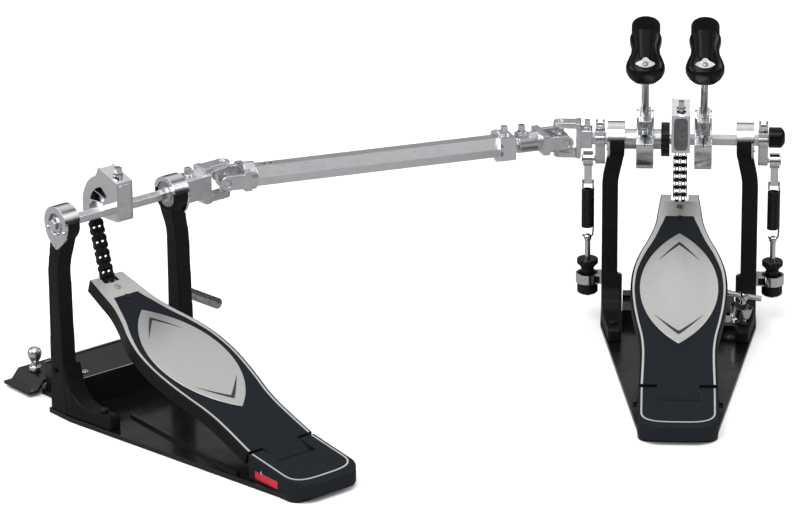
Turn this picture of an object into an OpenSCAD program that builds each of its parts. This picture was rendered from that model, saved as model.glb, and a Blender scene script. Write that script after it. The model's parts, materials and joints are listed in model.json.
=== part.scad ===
// Twin bass drum pedal: a main pedal with two beaters, a remote pedal to its left,
// and a telescoping drive shaft with two universal joints between them.
// Frame: origin on the floor under the main cam shaft, +X to the right, +Y to the drum, +Z up.

/* [Layout] */
// Height of the cam shafts over the floor
axle_h = 210; // [205:1:215]
// Sideways place of the remote pedal
remote_x = -581.6; // [-590:0.1:-575]
// Place of the remote pedal towards the drum
remote_y = -235.6; // [-240:0.1:-230]
// Turn of the remote pedal about the vertical
remote_yaw = 42.97; // [40:0.01:46]

/* [Footboards] */
// Hinge pin to toe edge
board_len = 330.5; // [328:0.5:333]
// Rest angle of the main footboard
main_tilt = 20.43; // [19:0.01:21]
// Rest angle of the remote footboard
remote_tilt = 18.17; // [17:0.01:20]
// Height of the tread over the hinge pin
tread_h = 8.1; // [7.8:0.1:8.4]
// Thickness of the tread plate
tread_t = 5; // [4:0.5:6]
// Depth of the side skirts under the tread
skirt_h = 14; // [10:0.5:15]
// Length of the badge plate
badge_len = 177; // [150:1:180]
// Half the width of the badge plate
badge_half = 41.8; // [38:0.1:43]
// Thickness of the badge plate
badge_t = 1.4; // [1:0.1:2]

/* [Base] */
// Half the width of the base plate at the posts
base_half = 85.2; // [84:0.1:88]
// Thickness of the base plate
base_t = 5; // [4:0.5:6]
// Back end of the base plate and heel plate
base_back = -351; // [-356:1:-348]
// Front end of the base plate
base_front = 60; // [56:1:64]
// Place of the hinge pin behind the cam shaft
hinge_y = -286; // [-288:0.1:-284]
// Height of the hinge pin
hinge_z = 16; // [15.5:0.1:17]
// Fall of the heel plate's top
heel_slope = 7.3; // [6:0.1:8]

/* [Posts] */
// Middle of each bearing cap from the pedal's centre line
cap_x = 69.7; // [69:0.1:70.5]
// Width of a bearing cap along the shaft
cap_w = 18.8; // [18:0.1:20]
// Outer radius of a bearing cap
cap_r = 19.2; // [18.5:0.1:20]
// Outward set of the lower post from the cap
post_set = 6.2; // [4:0.1:7]
// Half the width of a post
post_half = 8.7; // [8:0.1:9]
// Outer radius of the ball bearings
bearing_r = 14; // [13.5:0.1:14.5]

/* [Cam and chain] */
// Radius of the chain's pins round the cam
cam_r = 36; // [35:0.5:37]
// Cam centre in front of the shaft
cam_off_y = 9; // [8:0.5:10]
// Cam centre below the shaft
cam_off_z = -6; // [-7:0.5:-5]
// Width of the double chain
chain_w = 15.4; // [14.5:0.1:15.4]

/* [Beaters] */
// Lean of the beater rods back from upright
lean = 40; // [36:1:42]
// Cam shaft to the middle of a beater head
head_d = 149; // [140:1:155]
// Radius of a beater rod
rod_r = 4; // [3.8:0.1:4]
// Sideways place of the right beater
right_beater_x = 24.2; // [23.8:0.1:24.6]
// Sideways place of the left beater
left_beater_x = -38.6; // [-39:0.1:-38.2]

/* [Springs] */
// Sideways place of the right spring
right_spring_x = 102; // [101.5:0.1:102.5]
// Sideways place of the left spring
left_spring_x = -99.9; // [-100.4:0.1:-99.5]
// Outer radius of a spring coil
coil_r = 7.2; // [7:0.1:7.5]
// Spring arm pivot below the shaft
arm_drop = 23; // [22:0.5:24]

/* [Drive shaft] */
// Middle of the remote universal joint from the remote pedal's centre
remote_joint_x = 135.8; // [135:0.1:137]
// Middle of the main universal joint from the main pedal's centre
main_joint_x = -129.8; // [-131:0.1:-129]
// Width over the drive tube's flats
tube_w = 22; // [21:0.5:23]
// Width over the inner rod's flats
rod_w = 14; // [13:0.5:14]

/* [Hidden] */
$fn = 48;

fit = 0.05;
toe_pin_y = board_len - 6;
toe_pin_h = tread_h - 5;
toe_pin_r = 1.6;
badge_front = board_len - 65;
hinge_pin_r = 3;
tongue_half = 22.3;
tongue_gap = 1.1;
shoulder_d = 306;

cap_in = cap_x - cap_w / 2;
cap_out = cap_x + cap_w / 2;
cap_split = 4.3;
shield_t = 2.8;

hex_w = 11;
hex_play = 0.1;
journal_r = 8;
sleeve_r = 11;
neck_r = 7;
stub_r = 5;

pitch = 8;
link_r = 3.3;
// Links of each chain that hang straight between the toe and the cam.
main_links = 8;
remote_links = 9;
rim_r = cam_r - 5.6;
flange_r = cam_r + 3.6;
channel = chain_w / 2 + 0.4;
flange_t = 2;

head_back = 11.5;
head_front = 57;
hub_r = 32;
hub_w = 18.7;
block_w = 13.5;
block_end = 52;

arm_t = 10.5;
arm_pin_r = 2.4;
clip_play = 2.2;
eye_z = 96;
coil_low = 107;
coil_high = 153;
ring_r = 12.9;
ring_low = 44.7;
ring_high = 55.2;
bracket_z = 49.9;
nut_low = 65.9;
bolt_r = 3.1;

arm_r = 3.5;
cross_reach = 18.5;
fork_gap = 13.2;
fork_t = 6.6;
fork_tip = 8;
open_play = 0.6;

joint_1 = [remote_x + cos(remote_yaw) * remote_joint_x, remote_y + sin(remote_yaw) * remote_joint_x];
joint_2 = [main_joint_x, 0];
drive_span = norm(joint_2 - joint_1);
drive_yaw = atan2(joint_2[1] - joint_1[1], joint_2[0] - joint_1[0]);

// Bolts through each post's foot: place and the height that their heads sit on.
POST_BOLTS = [[70, -62, base_t + 15]];

// Half the width of the footboard at stations back from its toe.
BOARD_HALF = [[0, 20.5], [27, 23.7], [50, 26.5], [74, 33.5], [98, 42.6], [124, 49.4],
    [152, 51.8], [180, 50.2], [206, 46.5], [232, 42], [256, 40.3], [306, 41.2]];

// ---- curves ----

// Slope of a table of [x, y] rows at row i.
function slope(t, i) = let(a = max(i - 1, 0), b = min(i + 1, len(t) - 1))
    (t[b][1] - t[a][1]) / (t[b][0] - t[a][0]);

// Row that starts the stretch of a table that holds x.
function stretch(t, x, i = 0) = (i >= len(t) - 2 || x <= t[i + 1][0]) ? i : stretch(t, x, i + 1);

// Smooth cubic curve through a table of [x, y] rows.
function curve(t, x) = let(i = stretch(t, x), h = t[i + 1][0] - t[i][0], u = (x - t[i][0]) / h)
    t[i][1] * (2 * u * u * u - 3 * u * u + 1) + slope(t, i) * h * (u * u * u - 2 * u * u + u)
    + t[i + 1][1] * (3 * u * u - 2 * u * u * u) + slope(t, i + 1) * h * (u * u * u - u * u);

function ease(u) = let(c = min(max(u, 0), 1)) c * c * (3 - 2 * c);

function arc(c, r, a0, a1, n = 16) = [for (i = [0:n]) let(a = a0 + (a1 - a0) * i / n)
    [c[0] + r * cos(a), c[1] + r * sin(a)]];

// ---- placing ----

module on_remote() {
    translate([remote_x, remote_y, 0]) rotate([0, 0, remote_yaw]) children();
}

module at_axle() {
    translate([0, 0, axle_h]) children();
}

// Drive shaft frame: origin at the remote joint, +X along the shaft to the main joint.
module on_drive() {
    translate([joint_1[0], joint_1[1], axle_h]) rotate([0, 0, drive_yaw]) children();
}

// Footboard frame: origin on the hinge pin, +Y along the board to the toe.
module on_board(tilt) {
    translate([0, hinge_y, hinge_z]) rotate([tilt, 0, 0]) children();
}

// A flat shape drawn in (y, z), made solid from x0 to x1.
module slab(x0, x1) {
    translate([x0, 0, 0]) rotate([90, 0, 90]) linear_extrude(x1 - x0) children();
}

module rod(x0, x1, r) {
    translate([x0, 0, 0]) rotate([0, 90, 0]) cylinder(h = x1 - x0, r = r);
}

module hex(x0, x1, across) {
    translate([x0, 0, 0]) rotate([0, 90, 0]) cylinder(h = x1 - x0, r = across / 2 / cos(30), $fn = 6);
}

// A drum key bolt: shank down to -len, collar and square head above z = 0.
module key_bolt(len) {
    translate([0, 0, -len]) cylinder(h = len, r = 2.6);
    cylinder(h = 2, r = 5.2);
    translate([-3, -3, 1.5]) cube([6, 6, 8]);
}

module pan_screw(r, h) {
    cylinder(h = h, r = r);
    translate([0, 0, h]) cylinder(h = 0.8, r = r * 0.7);
}

// ---- frame ----

module base_plate(front_half) {
    color("black") difference() {
        union() {
            linear_extrude(base_t) polygon(concat(
                [[-front_half, base_front], [-front_half, 14], [-base_half, 14], [-base_half, -22]],
                [[-42, -316]], arc([-28, -329], 13.5, 180, 250, 6), arc([28, -329], 13.5, 290, 360, 6),
                [[42, -316], [base_half, -22], [base_half, 14], [front_half, 14]],
                [[front_half, base_front]]));
            for (s = [-1, 1]) linear_extrude(base_t + 3) polygon(
                [[s * 33, -62], [s * 37, -62], [s * 47, -254], [s * 43, -254]]);
        }
        for (s = [-1, 1], p = POST_BOLTS) translate([s * p[0], p[1], -1]) cylinder(h = base_t + 2, r = 3.1);
    }
}

module heel_top() {
    translate([0, base_back, 19.6]) rotate([heel_slope, 0, 0])
        translate([-60, -20, 0]) cube([120, 140, 40]);
}

module heel_plate() {
    front = -267.4;
    color("dimgray") difference() {
        translate([0, 0, base_t]) linear_extrude(32) polygon(concat(
            [[41.6, front], [-41.6, front]], arc([-17.6, -327], 24, 180, 262, 12),
            arc([17.6, -327], 24, 278, 360, 12)));
        heel_top();
        translate([-tongue_half - tongue_gap, hinge_y - tread_h - tongue_gap, base_t + 2])
            cube([2 * (tongue_half + tongue_gap), 60, 40]);
        translate([0, hinge_y, hinge_z]) rod(-50, 50, hinge_pin_r + fit);
        translate([-45, -314, 7]) cube([8, 38, 9]);
    }
}

module hinge_pin() {
    translate([0, hinge_y, hinge_z]) rod(-40, 40, hinge_pin_r);
}

// Right-hand post of a pedal, without its cap.
module post() {
    color("black") difference() {
        union() {
            intersection() {
                translate([0, 30, 0]) rotate([90, 0, 0]) linear_extrude(60) polygon(concat(
                    [for (z = [base_t, 60, for (k = [150:5:205]) k])
                        [cap_x + post_set * (1 - ease((z - 158) / 42)) - post_half, z]],
                    [for (z = [for (k = [205:-5:150]) k, 60, base_t])
                        [cap_x + post_set * (1 - ease((z - 158) / 42)) + post_half, z]]));
                slab(50, 95) polygon([[-17, base_t], [-13, 40], [-8.6, 160], [-9, 176], [-13, 205],
                    [13, 205], [9, 176], [8.6, 160], [10, 40], [12, base_t]]);
            }
            at_axle() difference() {
                rod(cap_in + 0.2, cap_out - shield_t - 0.2, cap_r - 0.4);
                translate([0, -30, cap_split]) cube([200, 60, 40]);
            }
            intersection() {
                translate([0, 0, base_t]) linear_extrude(60) polygon(
                    [[62, -80], [75.5, -80], [84, -22], [84, -8], [62, -8]]);
                slab(50, 95) polygon([[-80, base_t], [-80, 17], [-77, 20], [-46, 20], [-34, 23.5], [-24, 31],
                    [-17, 43], [-13, 58], [-8, 58], [-8, base_t]]);
            }
        }
        at_axle() {
            rod(50, 90, bearing_r + 0.03);
            slab(cap_out - shield_t - 0.2, 100) offset(delta = 0.3) shield_shape();
        }
        for (p = POST_BOLTS) translate([p[0], p[1], 0]) cylinder(h = 60, r = 3.1);
        translate([40, 0, bracket_z]) rod(0, 60, 3.2);
    }
}

// Right-hand post of the main pedal, its foot hollowed under the hoop clamp's rear arm.
module clamp_side_post() {
    difference() {
        post();
        translate([50, -57.5, 15.2]) cube([25.2, 22.5, 30]);
    }
}

module shield_shape() {
    circle(r = cap_r);
    hull() {
        translate([0, -6]) circle(r = 17.6);
        translate([0, -22]) circle(r = 5.5);
    }
}

module cap() {
    difference() {
        union() {
            difference() {
                rod(cap_in, cap_out, cap_r);
                translate([0, -30, cap_split - 100.3]) cube([200, 60, 100.6]);
            }
            slab(cap_out - shield_t, cap_out) shield_shape();
        }
        rod(50, cap_out - shield_t, bearing_r + 0.03);
        rod(50, 90, 11.6);
        for (s = [-1, 1]) translate([0, s * 13.6, -6.5]) rod(50, 90, 1.4);
    }
}

// Both caps of a pedal, each with its ball bearing.
module bearing_caps(left_bore) {
    at_axle() {
        color("silver") for (s = [0, 1]) mirror([s, 0, 0]) cap();
        color("gray") bearing(journal_r);
        color("gray") mirror([1, 0, 0]) bearing(left_bore);
    }
}

module ring_x(x0, x1, outer, inner) {
    difference() {
        rod(x0, x1, outer);
        rod(x0 - 1, x1 + 1, inner);
    }
}

module bearing(inner) {
    ring_x(cap_in + 1.5, cap_out - shield_t - 0.5, bearing_r, inner + fit);
}

module post_bolts() {
    for (p = POST_BOLTS) translate([p[0], p[1], 0]) {
        translate([0, 0, p[2] + 0.05]) pan_screw(5, 2.6);
        translate([0, 0, 0.6]) cylinder(h = p[2], r = 3);
    }
}

module shield_screws() {
    at_axle() for (s = [-1, 1]) translate([0, s * 13.6, -6.5]) {
        rod(cap_out - shield_t + 0.1, cap_out + 1, 1.35);
        rod(cap_out + 0.05, cap_out + 1.2, 2.2);
    }
}

module frame_screws() {
    color("silver") {
        hinge_pin();
        for (s = [0, 1]) mirror([s, 0, 0]) {
            post_bolts();
            shield_screws();
        }
    }
}

module main_bridge() {
    color("black") difference() {
        union() {
            translate([-61.5, -22, base_t]) cube([123, 50, 15]);
            translate([-61.5, 12, base_t]) cube([123, 16, 19]);
            for (x = [-27, 21]) translate([x, 3, base_t]) cube([6, 12, 31]);
        }
        translate([-18.5, 15, base_t]) cube([37, 20, 60]);
        translate([0, 9, 30.5]) rod(-40, 40, 2.5 + fit);
        translate([28, -40, 19]) cube([40, 80, 30]);
    }
}

// ---- hoop clamp ----

wing_at = [65.5, -46, 20];
wing_lean = 10;
jaw_pivot = [9, 30.5];

// Wing bolt frame: origin in the jaw's rear arm, +Z along the bolt.
module on_wing() {
    translate(wing_at) rotate([0, wing_lean, 0]) children();
}

module hoop_clamp_jaw() {
    color("silver") {
        difference() {
            union() {
                translate([-17.5, 17, 27.5]) cube([35, 36, 5]);
                translate([-17.5, 3.5, 26]) cube([35, 18, 8]);
                translate([-17.5, 46, 22.5]) cube([35, 7, 6]);
                translate([0, jaw_pivot[0], jaw_pivot[1]]) rod(-20.5, 20.5, 4.5);
                translate([34, 2, 26]) cube([20, 12, 6]);
                translate([34, -42, 26]) cube([18, 46, 4.5]);
                translate([34, -46, 16.5]) cube([18, 6, 14]);
                translate([34, -56, 16.5]) cube([40, 20, 4]);
                on_wing() cylinder(h = 3, r = 8.5);
            }
            on_wing() cylinder(h = 40, r = 4.4, center = true);
        }
        translate([0, jaw_pivot[0], jaw_pivot[1]]) rod(-31, 58, 2.5);
        on_wing() rotate_extrude() polygon(
            [[4.6, 1], [8, 1], [11.4, 5], [12.5, 16], [11.3, 16], [10.2, 6], [7.4, 2.8], [4.6, 2.8]]);
    }
}

module hoop_wing_bolt() {
    color("silver") on_wing() {
        translate([0, 0, -3.5]) cylinder(h = 30, r = 4);
        translate([0, 0, 4]) cylinder(h = 3, r = 6.5);
        translate([0, 0, 28]) intersection() {
            sphere(r = 6.2);
            cylinder(h = 7.6, r = 7, center = true);
        }
        translate([0, 0, 28]) rod(-19.5, 19.5, 3);
    }
}

// ---- footboards ----

function board_edge(inset) = concat(
    [for (d = [0:6:shoulder_d]) [curve(BOARD_HALF, d) - inset, board_len - max(d, inset)]],
    [for (d = [shoulder_d:-6:0]) [inset - curve(BOARD_HALF, d), board_len - max(d, inset)]]);

module badge_shape(extra) {
    r = (badge_len * badge_len / 4 + badge_half * badge_half) / (2 * badge_half);
    translate([0, badge_front - badge_len / 2]) intersection() {
        translate([r - badge_half, 0]) circle(r = r + extra, $fn = 96);
        translate([badge_half - r, 0]) circle(r = r + extra, $fn = 96);
    }
}

module footboard(tilt) {
    color("dimgray") on_board(tilt) difference() {
        union() {
            translate([0, 0, tread_h - tread_t]) linear_extrude(tread_t) polygon(board_edge(0));
            translate([0, 0, tread_h - skirt_h]) linear_extrude(skirt_h - 1) difference() {
                polygon(board_edge(0));
                polygon(board_edge(4));
            }
            translate([-tongue_half, 0, tread_h - tread_t])
                cube([2 * tongue_half, board_len - shoulder_d + 4, tread_t]);
            rod(-tongue_half, tongue_half, tread_h);
        }
        rod(-60, 60, hinge_pin_r + fit);
        translate([-9.4, board_len - 13, -20]) cube([18.8, 20, 40]);
        translate([0, toe_pin_y, toe_pin_h]) rod(-17, 17, toe_pin_r + fit);
        for (d = [21.5, 39.5]) translate([0, board_len - d, -10]) cylinder(h = 40, r = 2.1);
        translate([0, 0, tread_h - badge_t + 0.6]) linear_extrude(5) badge_shape(0.1);
    }
}

module badge(tilt) {
    color("silver") on_board(tilt) translate([0, 0, tread_h - badge_t + 0.6])
        linear_extrude(badge_t) badge_shape(0);
}

module toe_clamp(tilt) {
    color("silver") on_board(tilt) {
        translate([0, toe_pin_y, toe_pin_h]) rod(-16, 16, toe_pin_r);
        translate([-14, board_len - 45, tread_h - tread_t - 3.6]) cube([28, 30, 3.5]);
        for (d = [21.5, 39.5]) translate([0, board_len - d, 0]) {
            cylinder(h = tread_h + 0.1, r = 2);
            translate([0, 0, tread_h + 0.05]) cylinder(h = 1.2, r = 3.6);
        }
    }
}

// ---- chain ----

// Toe pin seen from the cam's centre, for a board at this tilt.
function toe_from_cam(tilt) = [
    hinge_y + toe_pin_y * cos(tilt) - toe_pin_h * sin(tilt) - cam_off_y,
    hinge_z + toe_pin_y * sin(tilt) + toe_pin_h * cos(tilt) - axle_h - cam_off_z];

// Angle on the cam where the straight chain touches it.
function touch_angle(t) = atan2(t[1], t[0]) + acos(cam_r / norm(t));

// Pin k of a chain: straight up from the toe, then round the cam.
function pin_at(tilt, k) = let(t = toe_from_cam(tilt), a = touch_angle(t), free = sqrt(t * t - cam_r * cam_r),
    s = k * pitch, touch = cam_r * [cos(a), sin(a)], b = a + (s - free) / cam_r * 180 / PI)
    (s <= free ? t + (touch - t) * s / free : cam_r * [cos(b), sin(b)]) + [cam_off_y, cam_off_z + axle_h];

module link_plate(x, w, p, q, r, hole) {
    d = q - p;
    slab(x - w / 2, x + w / 2) difference() {
        union() {
            for (c = [p, q]) translate(c) circle(r = r, $fn = 24);
            translate(p) rotate(atan2(d[1], d[0])) translate([0, -r * 0.72]) square([norm(d), r * 1.44]);
        }
        for (c = [p, q]) translate(c) circle(r = hole, $fn = 24);
    }
}

// Links from pin k0 to pin k1 on one straight line. Even links are the inner ones, with a
// bush at each end, and each odd link carries both its pins.
module chain_part(tilt, k0, k1) {
    a = pin_at(tilt, k0);
    b = pin_at(tilt, k1);
    n = k1 - k0;
    color("black") for (i = [0:n - 1]) {
        p = a + (b - a) * i / n;
        q = a + (b - a) * (i + 1) / n;
        inner = (k0 + i) % 2 == 0;
        if (inner) {
            for (x = [-5.2, -1.8, 1.8, 5.2]) link_plate(x, 1, p, q, link_r, toe_pin_r + fit);
            for (x = [-3.5, 3.5], c = [p, q]) translate([0, c[0], c[1]])
                ring_x(x - 1.2, x + 1.2, 2.5, toe_pin_r + fit);
        } else {
            for (x = [-6.9, 0, 6.9]) link_plate(x, 1.2, p, q, link_r, 0.5);
            for (c = [p, q]) translate([0, c[0], c[1]]) rod(-chain_w / 2, chain_w / 2, toe_pin_r);
        }
    }
}

// The links that stay on the cam, from one pitch past the last moving pin.
module chain_wrap(tilt, k0) {
    color("black") for (k = [k0 + 1, k0 + 2]) {
        p = pin_at(tilt, k);
        q = pin_at(tilt, k + 1);
        for (x = k % 2 == 0 ? [-5.2, -1.8, 1.8, 5.2] : [-6.9, 0, 6.9])
            link_plate(x, 1, p, q, link_r, toe_pin_r - 0.1);
        translate([0, p[0], p[1]]) rod(-chain_w / 2, chain_w / 2, toe_pin_r);
    }
}

// ---- cams ----

module cam_outline() {
    difference() {
        polygon(concat([[-13, -11], [-13, 31], [5, 36.5], [19, 40.5], [21, 35]],
            arc([cam_off_y, cam_off_z], flange_r, 68, -12, 24)));
        for (a = [-4:6:62]) translate([cam_off_y + (flange_r + 0.5) * cos(a), cam_off_z + (flange_r + 0.5) * sin(a)])
            circle(r = 1.3, $fn = 12);
    }
}

module cam_windows() {
    for (a = [-12, 19, 50]) polygon(concat(arc([0, 0], 12.5, a + 1, a + 24, 6),
        arc([cam_off_y, cam_off_z], rim_r - 3.4, a + 28, a - 1, 8)));
}

module cam() {
    color("silver") at_axle() {
        difference() {
            union() {
                slab(-channel, channel) intersection() {
                    cam_outline();
                    union() {
                        translate([cam_off_y, cam_off_z]) circle(r = rim_r, $fn = 96);
                        translate([-20, -20]) square([37.5, 80]);
                    }
                }
                for (x = [-channel - flange_t, channel]) slab(x, x + flange_t) difference() {
                    cam_outline();
                    cam_windows();
                }
            }
            slab(-20, 1.5) cam_windows();
            hex(-40, 40, hex_w + hex_play);
            translate([0.3, -2, 20]) cylinder(h = 40, r = 2.65);
        }
        translate([0.3, -2, 35]) key_bolt(13);
    }
}

// ---- shafts and what they carry ----

module main_cam_shaft() {
    color("silver") at_axle() {
        hex(-10.8, 97, hex_w);
        rod(cap_in + 1, cap_out - 1.5, journal_r);
        rod(-58, -10.8, stub_r);
    }
}

module left_sleeve() {
    color("silver") at_axle() difference() {
        union() {
            rod(-79.8, -21.2, sleeve_r);
            hex(-113, -79.8, 2 * neck_r * cos(30));
            difference() {
                rod(-21.2, -11.9, 18.5);
                for (a = [0:20:340]) rotate([a, 0, 0]) translate([0, 0, 19]) rod(-22, -11, 1.2);
            }
        }
        rod(-60, 0, stub_r + fit);
    }
}

// Beater hub centred on x, with its rod block leaning back.
module beater_hub(x, round_bore) {
    color("silver") at_axle() {
        difference() {
            union() {
                slab(x - hub_w / 2, x + hub_w / 2) difference() {
                    circle(r = hub_r, $fn = 72);
                    for (a = [-132:12:-48]) rotate(a) translate([hub_r, 0]) circle(r = 1.8, $fn = 16);
                    rotate(90 + lean) translate([24, -30]) square([40, 60]);
                }
                slab(x - block_w / 2, x + block_w / 2) rotate(90 + lean) translate([0, -10]) square([block_end, 20]);
            }
            if (round_bore) rod(x - 20, x + 20, sleeve_r + fit);
            else hex(x - 20, x + 20, hex_w + hex_play);
            translate([x, 0, 0]) rotate([lean, 0, 0]) {
                translate([0, 0, 14.5]) cylinder(h = 60, r = rod_r + fit);
                translate([0, 0, 39]) rotate([90, 0, 0]) cylinder(h = 20, r = 2.65);
            }
            for (s = [-1, 1]) translate([x + s * (hub_w / 2 - 2), 0, 0]) rotate([0, s * 90, 0])
                difference() {
                    cylinder(h = 5, r = 27);
                    translate([0, 0, -1]) cylinder(h = 8, r = 17);
                }
        }
        translate([x, 0, 0]) rotate([lean, 0, 0]) translate([0, -10.05, 39]) rotate([90, 0, 0]) key_bolt(5.4);
    }
}

module beater_rod(x) {
    color("silver") at_axle() translate([x, 0, 0]) rotate([lean, 0, 0])
        translate([0, 0, 34]) cylinder(h = head_d + 12 - 34, r = rod_r);
}

module beater_head(x) {
    body = [[0, 10], [3, 15.5], [8, 19.5], [13, 20.7], [20, 19.4], [30, 15.4], [38, 14.8], [44, 16.4], [50, 15.6]];
    color("black") at_axle() translate([x, 0, 0]) rotate([lean, 0, 0]) translate([0, -head_back, head_d])
        difference() {
            rotate([-90, 0, 0]) union() {
                intersection() {
                    rotate_extrude() polygon(concat([[0, 0]], [for (p = body) [p[1], p[0]]], [[0, 50]]));
                    translate([-30, -13.5, -1]) cube([60, 27, 60]);
                }
                translate([0, 0, 50.1]) rotate_extrude() polygon(concat([[0, 0], [15.2, 0]],
                    arc([10.2, head_front + head_back - 55.1], 5, 0, 90, 6), [[0, head_front + head_back - 50.1]]));
            }
            translate([0, head_back, -40]) cylinder(h = 60, r = rod_r + 0.02);
        }
}

module spring_arm(x0, bore_hex) {
    color("silver") at_axle() {
        difference() {
            union() {
                rod(x0, x0 + arm_t, 10.6);
                slab(x0, x0 + arm_t) union() {
                    translate([-8.6, 0]) square([17.2, 10.6]);
                    polygon([[-10, 0], [-6.5, -arm_drop], [6.5, -arm_drop], [10, 0]]);
                    translate([0, -arm_drop]) circle(r = 5.6);
                }
            }
            hex(x0 - 1, x0 + arm_t + 1, bore_hex + hex_play);
            translate([x0 + arm_t / 2, 0, 0]) cylinder(h = 20, r = 2.65);
        }
        translate([x0 + arm_t / 2, 0, 10.65]) difference() {
            union() {
                cylinder(h = 3.2, r = 2.6);
                translate([-4.8, -4.8, 2.2]) cube([9.6, 9.6, 7.6]);
            }
            translate([-2.6, -6, 5.6]) cube([5.2, 12, 6]);
        }
    }
}

// The pivot pin of a spring arm, from the arm's face out past the clip.
module spring_pin(x0, x1) {
    color("silver") at_axle() translate([0, 0, -arm_drop]) {
        rod(min(x0, x1), max(x0, x1), arm_pin_r);
        translate([x1 > x0 ? x1 - 1 : x1, 0, 0]) rod(0, 1, 5.4);
    }
}

module shaft_end_cap() {
    color("black") at_axle() difference() {
        intersection() {
            translate([0, 0, 3.5]) rod(95.2, 112.6, 11.2);
            translate([90, -20, -6.8]) cube([30, 40, 40]);
            translate([99, 0, 3.5]) sphere(r = 14.5);
        }
        hex(90, 97.4, hex_w + hex_play);
    }
}

// ---- springs ----

// Ring bracket on a post's outer side with its insert, eye bolt and fixing bolt, for x > 0.
module spring_holder(x) {
    lug_x = cap_x + post_set + post_half + 0.1;
    color("silver") {
        difference() {
            union() {
                translate([x, 0, ring_low]) cylinder(h = ring_high - ring_low, r = ring_r);
                translate([lug_x, -9, ring_low]) cube([x - lug_x, 18, ring_high - ring_low]);
            }
            translate([x, 0, ring_low - 1]) cylinder(h = 30, r = 11.5);
            translate([0, 0, bracket_z]) rod(0, x, 2.9);
            translate([lug_x + 1.6, -10, ring_low + 1.4]) cube([10.5, 4, ring_high - ring_low - 2.8]);
        }
        translate([0, 0, bracket_z]) {
            rod(64, x - 12.6, 2.8);
            rod(63.4, 67, 5.6);
        }
        difference() {
            union() {
                translate([x, 0, 29]) cylinder(h = eye_z - 29, r = bolt_r);
                translate([x, 0, eye_z]) sphere(r = 4.4);
            }
            translate([x, 0, eye_z]) rod(-9, 9, 1.3);
        }
    }
    color("black") translate([x, 0, 32]) difference() {
        rotate_extrude() polygon([[0, 0], [9.6, 0], [11.4, 1.8], [11.4, 22.6], [9.8, 22.6], [8.6, 20], [0, 20]]);
        translate([0, 0, -1]) cylinder(h = 40, r = bolt_r + 0.01);
    }
}

module tension_nut(x) {
    color("black") translate([x, 0, 0]) difference() {
        rotate_extrude() polygon([[0, 52.6], [7.2, 52.6], [7.2, 61.5], [10, nut_low - 0.8], [11.1, nut_low],
            [11.7, nut_low + 1], [11.7, nut_low + 4.9], [10.9, nut_low + 5.9], [0, nut_low + 5.9]]);
        translate([0, 0, 40]) cylinder(h = 40, r = bolt_r + fit);
        for (a = [0:30:330]) rotate(a) translate([12.6, 0, 60]) cylinder(h = 20, r = 1.7);
    }
}

module spring_coil(x) {
    turns = 15;
    step = (coil_high - coil_low) / turns;
    color("black") translate([x, 0, 0]) {
        rotate_extrude() polygon(concat([[4.2, coil_low]], [for (i = [0:turns - 1], u = [0, 0.5])
            [coil_r - (u == 0 ? 0.9 : 0), coil_low + (i + u) * step]], [[coil_r - 0.9, coil_high], [4.2, coil_high]]));
        for (s = [-1, 1]) translate([s * 5.6, 0, eye_z]) cylinder(h = coil_low - eye_z + 1, r = 1.1);
        translate([0, 0, eye_z]) rod(-6.6, 6.6, 1.1);
    }
}

module spring_clip(x) {
    color("silver") translate([x, 0, 0]) {
        difference() {
            union() {
                translate([0, 0, axle_h - arm_drop]) rod(-5.4, 5.4, 8.2);
                translate([-4.2, -3.4, 159]) cube([8.4, 6.8, axle_h - arm_drop - 159]);
            }
            translate([0, 0, axle_h - arm_drop]) rod(-9, 9, arm_pin_r + clip_play);
            translate([0, 0, 163]) rod(-9, 9, 2);
        }
        for (s = [-1, 1]) translate([s * 5.6, 0, coil_high + 0.6]) cylinder(h = 163 - coil_high, r = 1.1);
        translate([0, 0, 163]) rod(-6.6, 6.6, 1.1);
    }
}

// ---- universal joints and drive shaft ----

// A fork whose joint centre is the origin, its arms above and below, joined from near to far
// behind the centre along -X.
module fork(play, near, far) {
    difference() {
        union() {
            for (s = [-1, 1]) translate([0, 0, s > 0 ? fork_gap : -fork_gap - fork_t]) linear_extrude(fork_t) union() {
                circle(r = fork_tip);
                translate([-near - 1, -fork_tip]) square([near + 1, 2 * fork_tip]);
            }
            translate([-far, -11, -fork_gap - fork_t]) cube([far - near, 22, 2 * (fork_gap + fork_t)]);
        }
        cylinder(h = 80, r = arm_r + play, center = true);
    }
}

module cross_piece() {
    translate([-6, -6, -6]) cube(12);
    cylinder(h = 2 * cross_reach, r = arm_r, center = true);
    rotate([90, 0, 0]) cylinder(h = 2 * cross_reach, r = arm_r, center = true);
}

module remote_shaft_yoke() {
    color("silver") on_remote() at_axle() {
        difference() {
            union() {
                translate([remote_joint_x, 0, 0]) fork(fit, 22, 30);
                translate([cap_out + 1.6, -13, -12]) cube([remote_joint_x - 24 - cap_out - 1.6, 26, 25]);
            }
            hex(cap_out, 102, hex_w + hex_play);
            translate([91, 0, 0]) cylinder(h = 30, r = 2.65);
        }
        translate([91, 0, 13.1]) key_bolt(5.4);
    }
}

module sleeve_yoke() {
    color("silver") at_axle() {
        difference() {
            union() {
                translate([main_joint_x, 0, 0]) mirror([1, 0, 0]) fork(fit, 17, 22);
                translate([-108, -10, -8.5]) cube([12.4, 20, 20]);
            }
            hex(-114, -90, 2 * neck_r * cos(30) + hex_play);
            translate([-101, 0, 0]) cylinder(h = 30, r = 2.65);
        }
        translate([-101, 0, 11.6]) key_bolt(4);
    }
}

module drive_tube_yoke() {
    color("silver") on_drive() {
        rotate([90, 0, 0]) mirror([1, 0, 0]) fork(open_play, 19, 27);
        difference() {
            union() {
                translate([21, 0, 0]) rod(0, 14, 15);
                translate([34, 0, 0]) rod(0, 18, 8);
            }
            translate([15, -20, 15.2]) cube([40, 40, 20]);
        }
    }
}

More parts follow.
